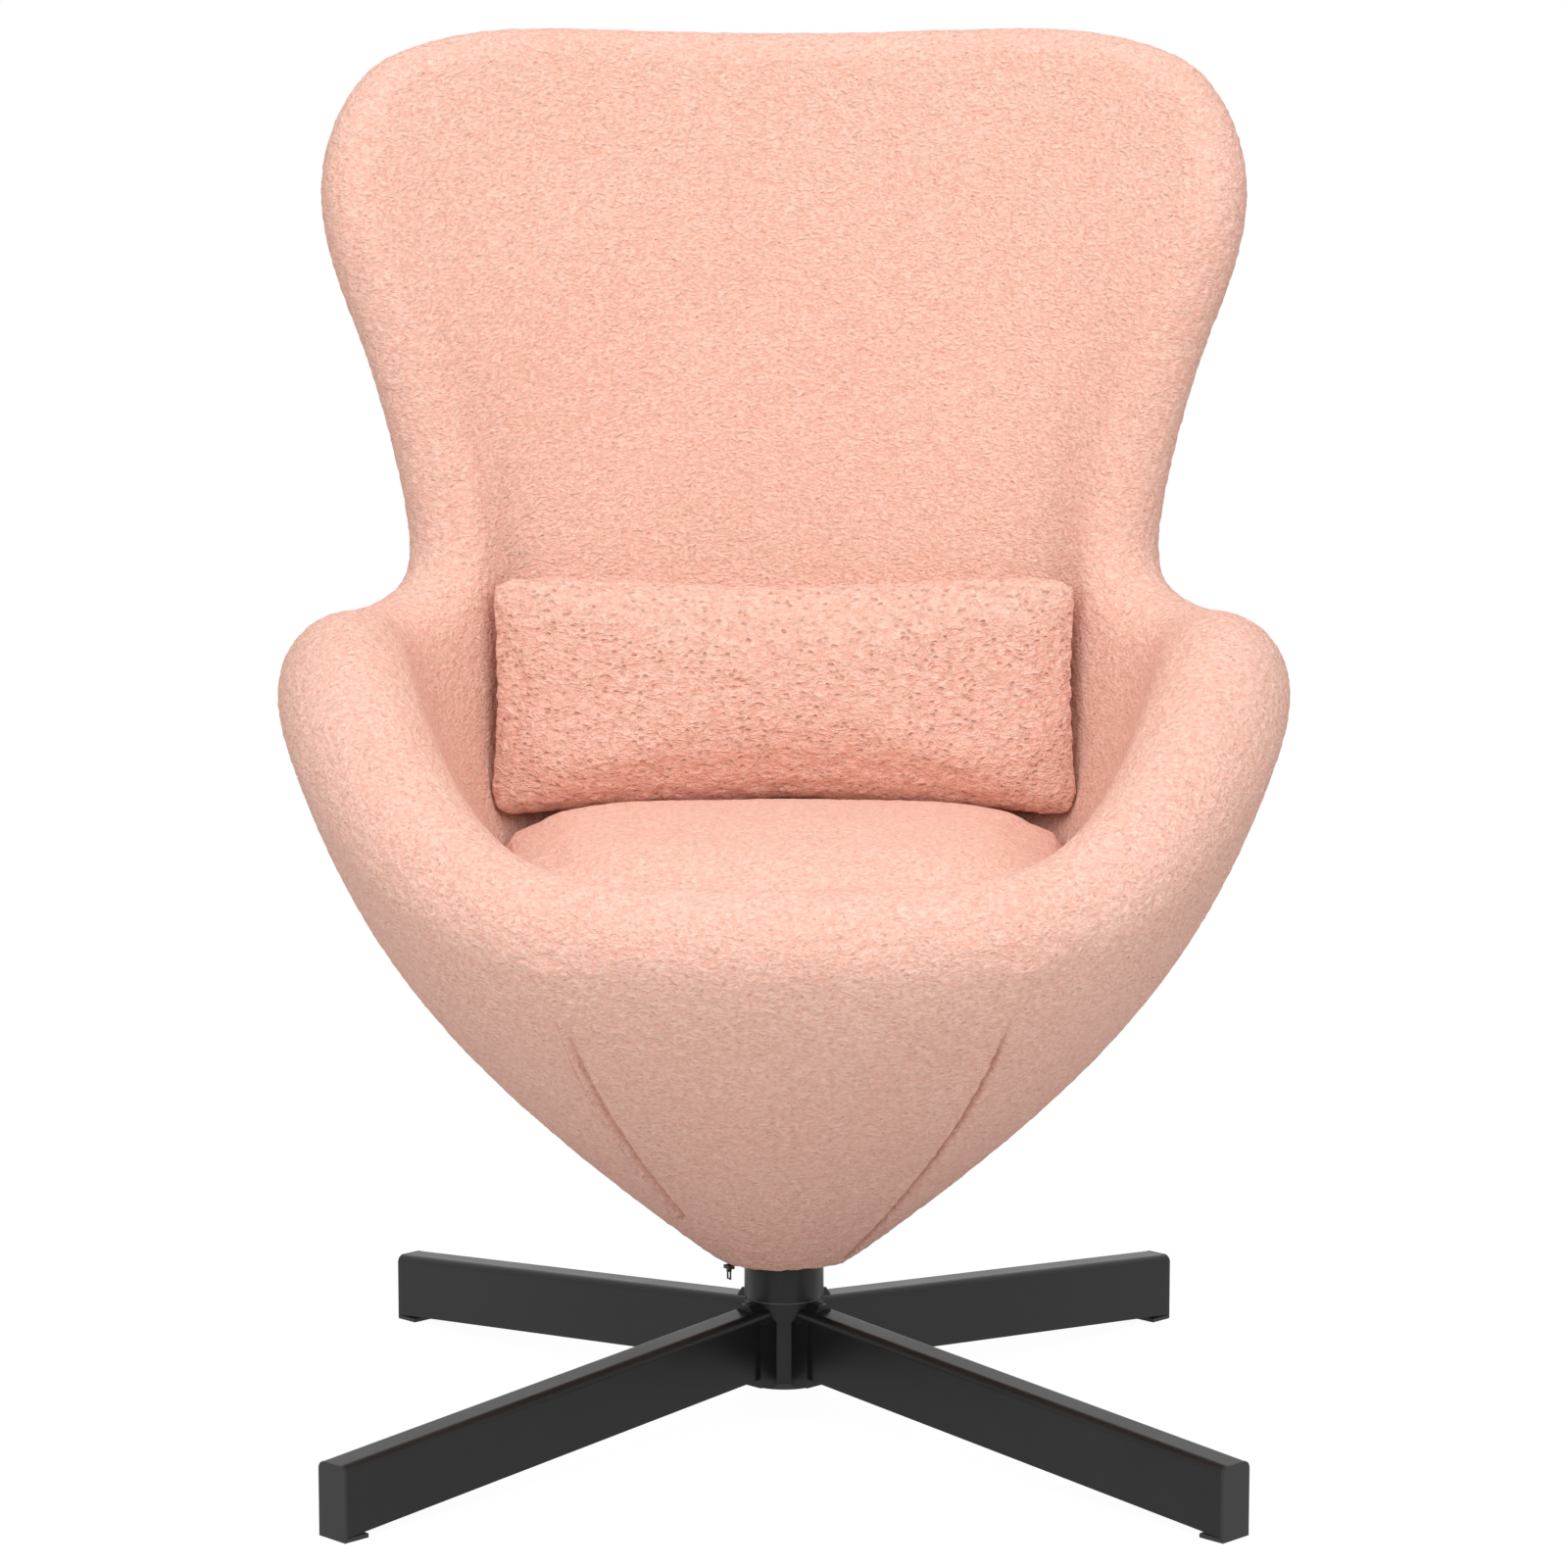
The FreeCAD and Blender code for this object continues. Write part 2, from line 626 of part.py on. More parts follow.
def panelled_solid(rows, turn, closed=True, right_first=True):
    """Points and facets over a grid whose rows are the closed outlines of the ribs.

    An outline climbs up to its turn and then comes down, and the diagonals swap there,
    so that two layers that face each other are parted along the same lines. Closed
    bowls join the last row to the first. They are parted alike on either side of the
    chair, and right_first tells whether the rows begin on the sitter's right.
    """
    count = len(rows[0])
    points = [point for row in rows for point in row]
    facets = []
    spans = len(rows) if closed else len(rows) - 1
    for i in range(spans):
        here, there = i * count, ((i + 1) % len(rows)) * count
        for j in range(count):
            k = (j + 1) % count
            first = ((2 * i < spans) == right_first) == (j < turn)
            facets += halves(here + j, there + j, there + k, here + k, first)
    return points, facets


def sewn(points, facets):
    """Sew flat panels into one solid that faces outwards, and join level ones."""
    skin = Part.Shape()
    skin.makeShapeFromMesh((points, facets), 0.001)
    solid = Part.makeSolid(skin)
    if solid.Volume < 0:
        solid.reverse()
    return solid.removeSplitter()


def feature(name, shape):
    """Put a ready shape into the document as a sub-part."""
    item = doc.addObject("Part::Feature", name)
    item.Shape = shape
    return keep(name, item)


def bowl_with_floor(name, columns, turn, floor_low, floor_high):
    """Solid bowl: each column runs from the upper floor over the rim to the lower floor."""
    count = len(columns[0])
    points = [point for column in columns for point in column]
    facets = []
    for i in range(len(columns)):
        here, there = i * count, ((i + 1) % len(columns)) * count
        left = 2 * i < len(columns)
        for j in range(count - 1):
            facets += halves(here + j, there + j, there + j + 1, here + j + 1, left == (j < turn))
        facets.append((there, here, len(points)))
        facets.append((here + count - 1, there + count - 1, len(points) + 1))
    points += [floor_high, floor_low]
    return feature(name, sewn(points, facets))


def build_bowl():
    """Inner upholstery with the rolled rim, rigid shell, outer cover and front panel."""
    ribs = all_ribs()
    half_shell = size("shell_thickness") / 2
    gap = size("layer_gap")
    columns = []
    shell_rows = []
    cover_rows = []
    hem = size("ring_radius") - size("ring_hem")
    for rib in ribs:
        inner = rib_points(rib["inner"])
        roll = list(reversed(roll_points(rib)))
        back = list(reversed(rib_points(layer_poles(rib, -half_shell - gap))))
        columns.append(inner + roll + [rib["outer"][3]] + back)
        facing = rib_points(layer_poles(rib, -half_shell), 2 * gap)
        behind = rib_points(layer_poles(rib, half_shell), 2 * gap)
        shell_rows.append(facing + list(reversed(behind)))
        lining = rib_points(layer_poles(rib, half_shell + gap), 2 * gap)
        skin = rib_points(rib["outer"], 2 * gap)
        way = Vector(skin[0].x, skin[0].y, 0).normalize()
        edge = way * hem + Vector(0, 0, size("ring_height"))
        cover_rows.append([edge] + lining + list(reversed(skin)))
    pan = Vector(0, size("pan_centre"), size("pan_height"))
    floor = columns[0][-1].z
    share = size("shell_share_at_pan") - (half_shell + gap) / pan_to_ring_length()
    under = Vector(0, size("pan_centre") * (1 - share), floor)
    turn = len(RIB_STEPS)
    bowl_with_floor("inner_upholstery", columns, turn, under, pan)
    feature("seat_shell", sewn(*panelled_solid(shell_rows, turn)))
    seam = sum(SPAN_STEPS[:list(STATIONS).index("seam")])
    front = cover_rows[-seam:] + cover_rows[:seam + 1]
    rest = cover_rows[seam:len(cover_rows) - seam + 1]
    feature("front_panel", open_panel(front, False))
    feature("outer_upholstery", open_panel(rest, True))
    return ribs


def open_panel(rows, right_first):
    """Solid of a run of rib sections, closed at both sides by their own outlines."""
    points, facets = panelled_solid(rows, 1 + len(RIB_STEPS), False, right_first)
    count = len(rows[0])
    half = (count - 1) // 2
    for start, flip in ((0, False), ((len(rows) - 1) * count, True)):
        side = []
        for j in range(half):
            a, b = 1 + j, 2 + j
            c, d = count - 2 - j, count - 1 - j
            if j < half - 1:
                side += [(a, b, c), (a, c, d)]
        side.append((0, 1, count - 1))
        for a, b, c in side:
            corner = (start + a, start + b, start + c)
            facets.append(corner if flip else (corner[0], corner[2], corner[1]))
    return sewn(points, facets)


# Cushions

def rib_at_height(rib, height):
    """Point where the inner face of the bowl reaches a height, or its rim end."""
    if rib["inner"][3].z - 2 < height:
        return Vector(rib["inner"][3])
    low, high = 0.0, 1.0
    for _ in range(40):
        middle = (low + high) / 2
        if cubic(rib["inner"], middle).z < height:
            low = middle
        else:
            high = middle
    return cubic(rib["inner"], low)


def crown_share(spread, power):
    """Height share of a crown at a share of its spread."""
    return (1 - spread ** power) ** (1 / power)


def capped_solid(rings, bottom, top):
    """Closed solid through level rings of points, fanned to a point at each end."""
    count = len(rings[0])
    points = [point for ring in rings for point in ring] + [bottom, top]
    facets = []
    for level in range(len(rings) - 1):
        low, high = level * count, (level + 1) * count
        for i in range(count):
            k = (i + 1) % count
            facets += halves(low + i, low + k, high + k, high + i, 2 * i < count)
    last = (len(rings) - 1) * count
    for i in range(count):
        k = (i + 1) % count
        facets.append((k, i, len(points) - 2))
        facets.append((last + i, last + k, len(points) - 1))
    return sewn(points, facets)


def filled(name, filling, rings, bottom, top, centre, reach):
    """Cover as a thin hollow solid, and its filling just inside it."""
    outer = capped_solid(rings, bottom, top)
    sparse = [ring[::2] for ring in rings]
    shares = []
    for layer in (size("cover_thickness"), size("cover_thickness") + size("layer_gap")):
        shares.append(Vector(*[1 - layer / r for r in reach]))
    shapes = []
    for share in shares:
        def drawn(point):
            way = point - centre
            return centre + Vector(way.x * share.x, way.y * share.y, way.z * share.z)
        shapes.append(capped_solid([[drawn(p) for p in ring] for ring in sparse], drawn(bottom), drawn(top)))
    feature(name, outer.cut(shapes[0]))
    feature(filling, shapes[1])


def build_seat_cushion(ribs):
    """Loose seat cushion that fills the bottom of the bowl and crowns in the middle."""
    gap = size("cushion_side_gap")
    middle = Vector(0, size("pan_centre"), 0)
    floor = size("pan_height") + size("cushion_seat_gap")

    def inset(point, extra, height):
        way = Vector(point.x, point.y, 0) - middle
        reach = way.Length - gap - extra
        return middle + way.normalize() * reach + Vector(0, 0, height)

    levels = [(size("cushion_low"), 0.0), (size("cushion_waist"), size("cushion_drawn_in")),
              (size("cushion_shoulder"), 0.0)]
    rings = [[inset(rib["inner"][0], 0.0, floor) for rib in ribs]]
    for height, extra in levels:
        ring = []
        for rib in ribs:
            spot = rib_at_height(rib, height)
            ring.append(inset(spot, extra, min(height, rib["inner"][3].z - 2)))
        rings.append(ring)
    edge = rings[-1]
    crown = size("cushion_crown")
    for spread in CROWN_RINGS:
        share = crown_share(spread, CROWN_POWER)
        ring = []
        for point in edge:
            flat = Vector(point.x, point.y, 0)
            spot = middle + (flat - middle) * spread
            ring.append(Vector(spot.x, spot.y, point.z + (crown - point.z) * share))
        rings.append(ring)
    bottom = middle + Vector(0, 0, floor)
    top = middle + Vector(0, 0, crown)
    centre = middle + Vector(0, 0, (floor + crown) / 2)
    reach = (edge[len(edge) // 4].x, size("pan_radius"), (crown - floor) / 2)
    filled("seat_cushion", "seat_cushion_foam", rings, bottom, top, centre, reach)


def back_depth(ribs, height):
    """How far back the bowl's inner face is at a height, on the centre line."""
    return rib_at_height(ribs[len(ribs) // 2], height).y


def build_pillow(ribs):
    """Lumbar pillow: eared corners, drawn-in sides and a full middle."""
    half_width = size("pillow_width") / 2
    half_height = size("pillow_height") / 2
    half_depth = size("pillow_thickness") / 2
    height = size("pillow_centre_height")
    lean = Rotation(Vector(1, 0, 0), -size("pillow_lean"))
    back = back_depth(ribs, height) - size("pillow_back_gap") - half_depth
    place = Placement(Vector(0, back, height), lean)

    def outline(angle):
        along_x, along_z = math.cos(angle), math.sin(angle)
        x = math.copysign(abs(along_x) ** PILLOW_CORNER, along_x)
        z = math.copysign(abs(along_z) ** PILLOW_CORNER, along_z)
        draw = size("pillow_top_sag") if z > 0 else size("pillow_bottom_arch")
        return (x * (half_width - size("pillow_side_draw") * (1 - z * z)),
                z * (half_height - draw * (1 - x * x)))

    angles = [2 * math.pi * k / PILLOW_POINTS for k in range(PILLOW_POINTS)]
    spreads = [(s, -1) for s in reversed(PILLOW_RINGS)] + [(1.0, 0)] + [(s, 1) for s in PILLOW_RINGS]
    rings = []
    for spread, face in spreads:
        depth = face * half_depth * (1 - spread ** 2.2) ** 0.62 if face else 0.0
        ring = []
        for angle in angles:
            x, z = outline(angle)
            wrap = size("pillow_wrap") * (x * spread / half_width) ** 2
            ring.append(place.multVec(Vector(x * spread, depth - wrap, z * spread)))
        rings.append(ring)
    front = place.multVec(Vector(0, -half_depth, 0))
    rear = place.multVec(Vector(0, half_depth, 0))
    reach = (half_width, half_depth, half_height)
    filled("lumbar_pillow", "lumbar_pillow_filling", rings, front, rear, place.Base, reach)


# Zip

def build_zip():
    """Slider at the lower end of the left seam, with a small wire puller."""
    turn = Rotation(Vector(0, 0, 1), size("slider_azimuth") - 90)
    radius = size("ring_radius") - size("ring_hem") / 2
    top = size("ring_height") - size("layer_gap")
    spin = Placement(Vector(0, 0, 0), turn)
    low = top - size("slider_height")
    slider = box("zip_block", "dims.slider_depth", "dims.slider_width", "dims.slider_height",
                 spin * Placement(Vector(radius - size("slider_depth") / 2, -size("slider_width") / 2, low),
                                  Rotation()))
    wire = size("puller_wire")
    lug_gap = size("running_gap")
    lug_height = wire + 2 * lug_gap + 0.8
    lug_width = size("puller_width") - 2 * wire - 2 * lug_gap
    lug = doc.addObject("Part::Box", "zip_lug")
    lug.Length = wire + 2 * lug_gap + 1.6
    lug.Width = lug_width
    lug.Height = lug_height
    lug.Placement = spin * Placement(Vector(radius - lug.Length.Value / 2, -lug_width / 2, low - lug_height),
                                     Rotation())
    eye_height = low - wire / 2 - lug_gap
    eye = doc.addObject("Part::Box", "zip_eye")
    eye.Length = wire + 2 * lug_gap
    eye.Width = lug_width * 2
    eye.Height = wire + 2 * lug_gap
    eye.Placement = spin * Placement(
        Vector(radius - eye.Length.Value / 2, -lug_width, eye_height - eye.Height.Value / 2), Rotation())
    keep("zip_slider", cut("zip_slider", fuse("zip_body", [slider, lug]), eye))
    frame = box("pull_frame", "dims.puller_wire", "dims.puller_width", "dims.puller_length",
                spin * Placement(Vector(radius - wire / 2, -size("puller_width") / 2,
                                        eye_height + wire / 2 - size("puller_length")), Rotation()))
    window = box("pull_window", "dims.puller_wire * 3", "dims.puller_width - 2 * dims.puller_wire",
                 "dims.puller_length - 2 * dims.puller_wire",
                 spin * Placement(Vector(radius - 1.5 * wire, -size("puller_width") / 2 + wire,
                                         eye_height - wire / 2 - size("puller_length") + 2 * wire),
                                  Rotation()))
    keep("zip_puller", cut("zip_puller", frame, window))


def check_and_write():
    """Stop on any failed object, then write one file for each sub-part."""
    doc.recompute()
    for item in doc.Objects:
        if "Invalid" in item.State or "Error" in item.State:
            raise RuntimeError(f"{item.Name} is {item.State}")
    os.makedirs("parts", exist_ok=True)
    for name, item in nodes.items():
        shape = item.Shape
        if shape.isNull() or not shape.isValid() or shape.Volume <= 0 or not shape.Solids:
            raise RuntimeError(f"{name} has no valid solid")
        shape.exportStep(f"parts/{name}.step")
        box_size = shape.BoundBox
        print(f"{name}: {len(shape.Solids)} solid, {shape.Volume / 1000:.1f} cm3, "
              f"z {box_size.ZMin:.1f} to {box_size.ZMax:.1f}")


def main():
    """Build the chair from the floor up."""
    fill_sheet()
    build_base()
    build_swivel()
    ribs = build_bowl()
    build_seat_cushion(ribs)
    build_pillow(ribs)
    build_zip()
    check_and_write()


main()
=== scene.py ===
"""Looks of the upholstered pod chair: fabric, cushions, painted base and studio."""

import logging
import math
from dataclasses import dataclass, field
from enum import Enum

import bmesh
import bpy
import numpy as np
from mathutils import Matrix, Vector, kdtree, noise


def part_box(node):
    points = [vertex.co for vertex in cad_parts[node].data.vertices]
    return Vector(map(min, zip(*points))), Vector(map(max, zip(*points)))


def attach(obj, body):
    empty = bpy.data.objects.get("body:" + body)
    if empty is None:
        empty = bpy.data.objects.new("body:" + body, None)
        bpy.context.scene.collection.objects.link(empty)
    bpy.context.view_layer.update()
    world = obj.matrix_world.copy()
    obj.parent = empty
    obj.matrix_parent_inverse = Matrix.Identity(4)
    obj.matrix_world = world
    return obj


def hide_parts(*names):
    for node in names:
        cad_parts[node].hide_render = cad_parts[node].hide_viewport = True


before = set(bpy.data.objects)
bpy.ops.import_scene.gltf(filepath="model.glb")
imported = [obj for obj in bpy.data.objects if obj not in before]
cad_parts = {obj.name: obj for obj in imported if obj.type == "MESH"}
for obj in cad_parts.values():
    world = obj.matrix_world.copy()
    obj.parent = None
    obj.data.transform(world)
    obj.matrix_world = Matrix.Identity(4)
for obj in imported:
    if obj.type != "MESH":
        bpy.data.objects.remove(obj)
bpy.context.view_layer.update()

log = logging.getLogger("pod_chair")

MM = 0.001
MERGE = 0.02 * MM
WHITE = (1.0, 1.0, 1.0, 1.0)


class Body(str, Enum):
    """The moving bodies that a piece can ride on."""

    BASE = "base"
    BOWL = "bowl"
    CUSHION = "cushion"
    PILLOW = "pillow"
    PULLER = "puller"


# Shader maths


class Wire:
    """A shader socket that takes part in Python expressions."""

    def __init__(self, tree: bpy.types.NodeTree, socket: bpy.types.NodeSocket) -> None:
        """Wrap a socket of a node tree."""
        self.tree = tree
        self.socket = socket

    def math(self, operation: str, *others: "Wire | float") -> "Wire":
        """Add a Math node.

        Args:
            operation: The node's name of the operation.
            others: The values after this one.

        Returns:
            The node's result.
        """
        node = add_node(self.tree, "Math", {"operation": operation},
                        dict(enumerate((self, *others))))
        return Wire(self.tree, node.outputs[0])

    def __add__(self, other: "Wire | float") -> "Wire":
        """Sum."""
        return self.math("ADD", other)

    def __radd__(self, other: float) -> "Wire":
        """Sum with a number first."""
        return self.math("ADD", other)

    def __sub__(self, other: "Wire | float") -> "Wire":
        """Difference."""
        return self.math("SUBTRACT", other)

    def __rsub__(self, other: float) -> "Wire":
        """Difference from a number."""
        return self.math("MULTIPLY", -1.0) + other

    def __mul__(self, other: "Wire | float") -> "Wire":
        """Product."""
        return self.math("MULTIPLY", other)

    def __rmul__(self, other: float) -> "Wire":
        """Product with a number first."""
        return self.math("MULTIPLY", other)

    def clamped(self) -> "Wire":
        """The value held between 0 and 1."""
        return self.math("MAXIMUM", 0.0).math("MINIMUM", 1.0)


def plug(tree: bpy.types.NodeTree, slot: bpy.types.NodeSocket, value: object) -> None:
    """Link a wire to a socket, or set the socket to a constant.

    Args:
        tree: The node tree.
        slot: The input socket.
        value: A wire, a number, a vector or a colour.
    """
    if isinstance(value, Wire):
        tree.links.new(value.socket, slot)
    else:
        slot.default_value = value


def add_node(tree: bpy.types.NodeTree, kind: str, settings: dict | None = None,
             inputs: dict | None = None) -> bpy.types.Node:
    """Add a node to a tree.

    Args:
        tree: The node tree.
        kind: The node's type name without its ShaderNode prefix.
        settings: Properties of the node, set first.
        inputs: Values or wires of its sockets, by name or number.

    Returns:
        The node.
    """
    made = tree.nodes.new("ShaderNode" + kind)
    for name, value in (settings or {}).items():
        setattr(made, name, value)
    for key, value in (inputs or {}).items():
        plug(tree, made.inputs[key], value)
    return made


class Recipe:
    """A material's node tree around one main shader."""

    def __init__(self, name: str) -> None:
        """Start an empty material with its shader and output.

        Args:
            name: The material's name.
        """
        self.material = bpy.data.materials.new(name)
        self.material.use_nodes = True
        self.tree = self.material.node_tree
        self.tree.nodes.clear()
        self.shader = add_node(self.tree, "BsdfPrincipled")
        self.output = add_node(self.tree, "OutputMaterial", None, {0: self.shade()})

    def node(self, kind: str, settings: dict | None = None, inputs: dict | None = None,
             output: int | str = 0) -> Wire:
        """Add a node and take one of its outputs.

        Args:
            kind: The node's type name without its ShaderNode prefix.
            settings: Properties of the node, set first.
            inputs: Values or wires of its sockets, by name or number.
            output: Which output to return.

        Returns:
            The chosen output.
        """
        made = add_node(self.tree, kind, settings, inputs)
        return Wire(self.tree, made.outputs[output])

    def shade(self) -> Wire:
        """The main shader's own output."""
        return Wire(self.tree, self.shader.outputs[0])

    def place(self) -> Wire:
        """The point in the object's own coordinates, in metres."""
        return self.node("TexCoord", output="Object")

    def mix(self, share: "Wire | float", low: object, high: object) -> Wire:
        """Blend two colours.

        Args:
            share: How much of the second colour.
            low: The first colour or wire.
            high: The second colour or wire.

        Returns:
            The blended colour.
        """
        return self.node("Mix", {"data_type": "RGBA"}, {0: share, 6: low, 7: high}, output=2)

    def vector(self, operation: str, first: object, second: object) -> Wire:
        """Work on two vectors, which are wires or three numbers."""
        return self.node("VectorMath", {"operation": operation}, {0: first, 1: second})

    def noise(self, place: Wire, scale: float, detail: float, roughness: float = 0.5,
              output: int = 0) -> Wire:
        """Uneven values over the surface.

        Args:
            place: The points to read.
            scale: Patches in a metre.
            detail: How many finer layers.
            roughness: How strong the finer layers are.
            output: 0 for one value, 1 for three in a vector.

        Returns:
            The values, around one half.
        """
        inputs = {"Vector": place, "Scale": scale, "Detail": detail, "Roughness": roughness}
        return self.node("TexNoise", None, inputs, output)

    def feed(self, **sockets: object) -> None:
        """Set or link sockets of the shader.

        Args:
            sockets: A value or wire for each socket, named with underscores for spaces.
        """
        for name, value in sockets.items():
            label = name.replace("_", " ").title().replace("Ior", "IOR")
            plug(self.tree, self.shader.inputs[label], value)

    def bump(self, height: Wire, distance: float) -> Wire:
        """The normal of a surface whose height of 1 stands for a distance in metres."""
        return self.node("Bump", None, {"Distance": distance, "Height": height})


def unlit_rays(tree: bpy.types.NodeTree) -> Wire:
    """Rays that should find a white background and not the light on it.

    Args:
        tree: The node tree.

    Returns:
        1 for camera, mirror and glass rays, otherwise 0.
    """
    path = add_node(tree, "LightPath")
    seen = Wire(tree, path.outputs["Is Camera Ray"])
    for name in ("Is Glossy Ray", "Is Transmission Ray"):
        seen = seen.math("MAXIMUM", Wire(tree, path.outputs[name]))
    return seen


# Finishes


@dataclass(frozen=True)
class LoopedCloth:
    """Looped woollen cloth: a soft pile of flat little loops with small pits between them."""

    name: str
    loop: float
    relief: float
    contrast: float
    # How deep the pits sink in the bump, which also sets how dark their painted shade is.
    pit_gap: float
    pit_depth_and_shade: float
    # light is the pale colour of the lit loop tops, painted light; plain is the cloth's own colour,
    # left in the dips between loops.
    light: tuple = (0.985, 0.640, 0.535, 1.0)
    plain: tuple = (0.900, 0.480, 0.365, 1.0)
    # Painted shade: the dark colour put into the pits between the loops and into the seam grooves.
    shade_colour: tuple = (0.640, 0.275, 0.190, 1.0)
    # The point attribute that carries the painted shade along the seam grooves.
    seam_shade_attribute: str = "seam"
    flatness: tuple = (1.0, 1.0, 1.6)
    sway: float = 0.4
    drift: float = 1.5
    fluff: float = 2.6
    fluff_share: float = 0.4
    pit_radius: float = 0.30
    pit_edge: float = 6.0
    pit_sink: float = 0.4
    patches: float = 9.0
    patch_share: float = 0.4
    seam_shade: float = 0.8
    roughness: float = 0.95
    specular: float = 0.1
    sheen: float = 0.16
    sheen_tint: tuple = (1.0, 0.86, 0.80, 1.0)

    def material(self) -> bpy.types.Material:
        """Build the cloth's material.

        Returns:
            The material.
        """
        recipe = Recipe(self.name)
        place = recipe.place()
        flat = recipe.vector("MULTIPLY", place, self.flatness)
        sway = recipe.noise(place, self.sway / self.loop, 1.0, output=1)
        drift = recipe.vector("MULTIPLY", sway, (self.loop * self.drift,) * 3)
        bent = recipe.vector("ADD", flat, drift)
        loops = recipe.noise(bent, 1 / self.loop, 1.0)
        fluff = recipe.noise(bent, self.fluff / self.loop, 2.0, roughness=0.6)
        cells = recipe.node("TexVoronoi", None, {"Vector": bent, "Scale": 1 / self.pit_gap})
        broad = recipe.noise(place, self.patches, 3.0)
        pits = ((self.pit_radius - cells) * self.pit_edge).clamped()
        pile = loops * (1 - self.fluff_share) + fluff * self.fluff_share
        # Painted light and shade of the loops: the colour follows the pile's height, lighter on the
        # loop tops and darker in the dips between them. The broad patches are random tone.
        loop_shading_and_patches = (pile - 0.5) * self.contrast + 0.5 + (broad - 0.5) * self.patch_share
        surface = recipe.mix(loop_shading_and_patches.clamped(), self.plain, self.light)
        seam = recipe.node("Attribute", {"attribute_name": self.seam_shade_attribute}, output="Fac")
        # Painted shade: the pits between the loops and the seam grooves are darkened towards the
        # dark colour.
        painted_shade = (pits * self.pit_depth_and_shade + seam * self.seam_shade).clamped()
        recipe.feed(base_color=recipe.mix(painted_shade, surface, self.shade_colour), roughness=self.roughness,
                    specular_ior_level=self.specular, sheen_weight=self.sheen,
                    sheen_roughness=0.5, sheen_tint=self.sheen_tint)
        height = pile - pits * (self.pit_depth_and_shade * self.pit_sink)
        recipe.feed(normal=recipe.bump(height, self.relief))
        return recipe.material


@dataclass(frozen=True)
class Coating:
    """Painted metal or moulded plastic with a fine grain and a little wear."""

    name: str
    colour: tuple
    roughness: float
    grain: float
    metallic: float = 0.0
    specular: float = 0.5
    grains: float = 1400.0
    patches: float = 14.0
    patch_start: float = 0.35
    patch_gloss: float = 0.16
    wear: float = 1.5
    dust: float = 0.004

    def material(self) -> bpy.types.Material:
        """Build the coating's material.

        Returns:
            The material.
        """
        recipe = Recipe(self.name)
        place = recipe.place()
        fine = recipe.noise(place, self.grains, 2.0)
        broad = recipe.noise(place, self.patches, 3.0)
        lighter = tuple(min(1.0, part * self.wear + self.dust) for part in self.colour[:3]) + (1.0,)
        worn = (broad - self.patch_start).clamped()
        recipe.feed(base_color=recipe.mix(worn, self.colour, lighter),
                    roughness=(broad - 0.5) * self.patch_gloss + self.roughness,
                    metallic=self.metallic, specular_ior_level=self.specular)
        recipe.feed(normal=recipe.bump(fine, self.grain))
        return recipe.material


@dataclass(frozen=True)
class Plywood:
    """Raw layered board."""

    name: str = "raw_plywood"
    pale: tuple = (0.62, 0.44, 0.27, 1.0)
    dark: tuple = (0.42, 0.27, 0.15, 1.0)
    streaks: float = 60.0
    waviness: float = 6.0
    plies: float = 210.0
    relief: float = 0.2 * MM

    def material(self) -> bpy.types.Material:
        """Build the board's material.

        Returns:
            The material.
        """
        recipe = Recipe(self.name)
        place = recipe.place()
        grain = recipe.node("TexWave", {"bands_direction": "X"},
                            {"Vector": place, "Scale": self.streaks,
                             "Distortion": self.waviness, "Detail": 3.0})
        layers = recipe.node("TexWave", {"bands_direction": "Z"},
                             {"Vector": place, "Scale": self.plies})
        colour = recipe.mix(grain * 0.6 + layers * 0.3, self.pale, self.dark)
        recipe.feed(base_color=colour, roughness=0.75)
        recipe.feed(normal=recipe.bump(grain, self.relief))
        return recipe.material


CLOTH = LoopedCloth("looped_cloth", loop=3.6 * MM, relief=4.2 * MM, contrast=4.6,
                    pit_gap=7 * MM, pit_depth_and_shade=0.30)
PILLOW_CLOTH = LoopedCloth("pillow_cloth", loop=4.8 * MM, relief=6.5 * MM, contrast=4.4,
                           pit_gap=8 * MM, pit_depth_and_shade=0.55)
PAINT = Coating("satin_black_paint", (0.0065, 0.0072, 0.0069, 1.0), roughness=0.34,
                grain=0.04 * MM, specular=0.28)
CAP = Coating("matt_black_plastic", (0.017, 0.018, 0.017, 1.0), roughness=0.5,
              grain=0.06 * MM, specular=0.35)
DARK_BUSH = Coating("dark_bush_plastic", (0.09, 0.09, 0.09, 1.0), roughness=0.5, grain=0.03 * MM)
ZINC = Coating("bright_zinc", (0.62, 0.62, 0.64, 1.0), roughness=0.32, grain=0.02 * MM,
               metallic=1.0)
SHELL = Coating("moulded_shell", (0.10, 0.10, 0.10, 1.0), roughness=0.6, grain=0.12 * MM)
FOAM = Coating("open_foam", (0.86, 0.80, 0.62, 1.0), roughness=0.95, grain=0.8 * MM,
               specular=0.1)
FILLING = Coating("fibre_filling", (0.90, 0.89, 0.86, 1.0), roughness=0.95, grain=0.8 * MM,
                  specular=0.1)


# Mesh helpers


def copied(name: str, *nodes: str) -> bpy.types.Object:
    """Join copies of CAD nodes into a new object with merged corners.

    Args:
        name: The new object's name.
        nodes: The CAD nodes to copy.

    Returns:
        The new object.
    """
    shape = bmesh.new()
    for node in nodes:
        shape.from_mesh(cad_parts[node].data)
    bmesh.ops.remove_doubles(shape, verts=shape.verts, dist=MERGE)
    return from_bmesh(name, shape)


def from_bmesh(name: str, shape: bmesh.types.BMesh) -> bpy.types.Object:
    """Make an object of a bmesh and free it.

    Args:
        name: The new object's name.
        shape: The bmesh.

    Returns:
        The new object, shaded smooth.
    """
    mesh = bpy.data.meshes.new(name)
    shape.to_mesh(mesh)
    shape.free()
    made = bpy.data.objects.new(name, mesh)
    bpy.context.scene.collection.objects.link(made)
    mesh.shade_smooth()
    return made


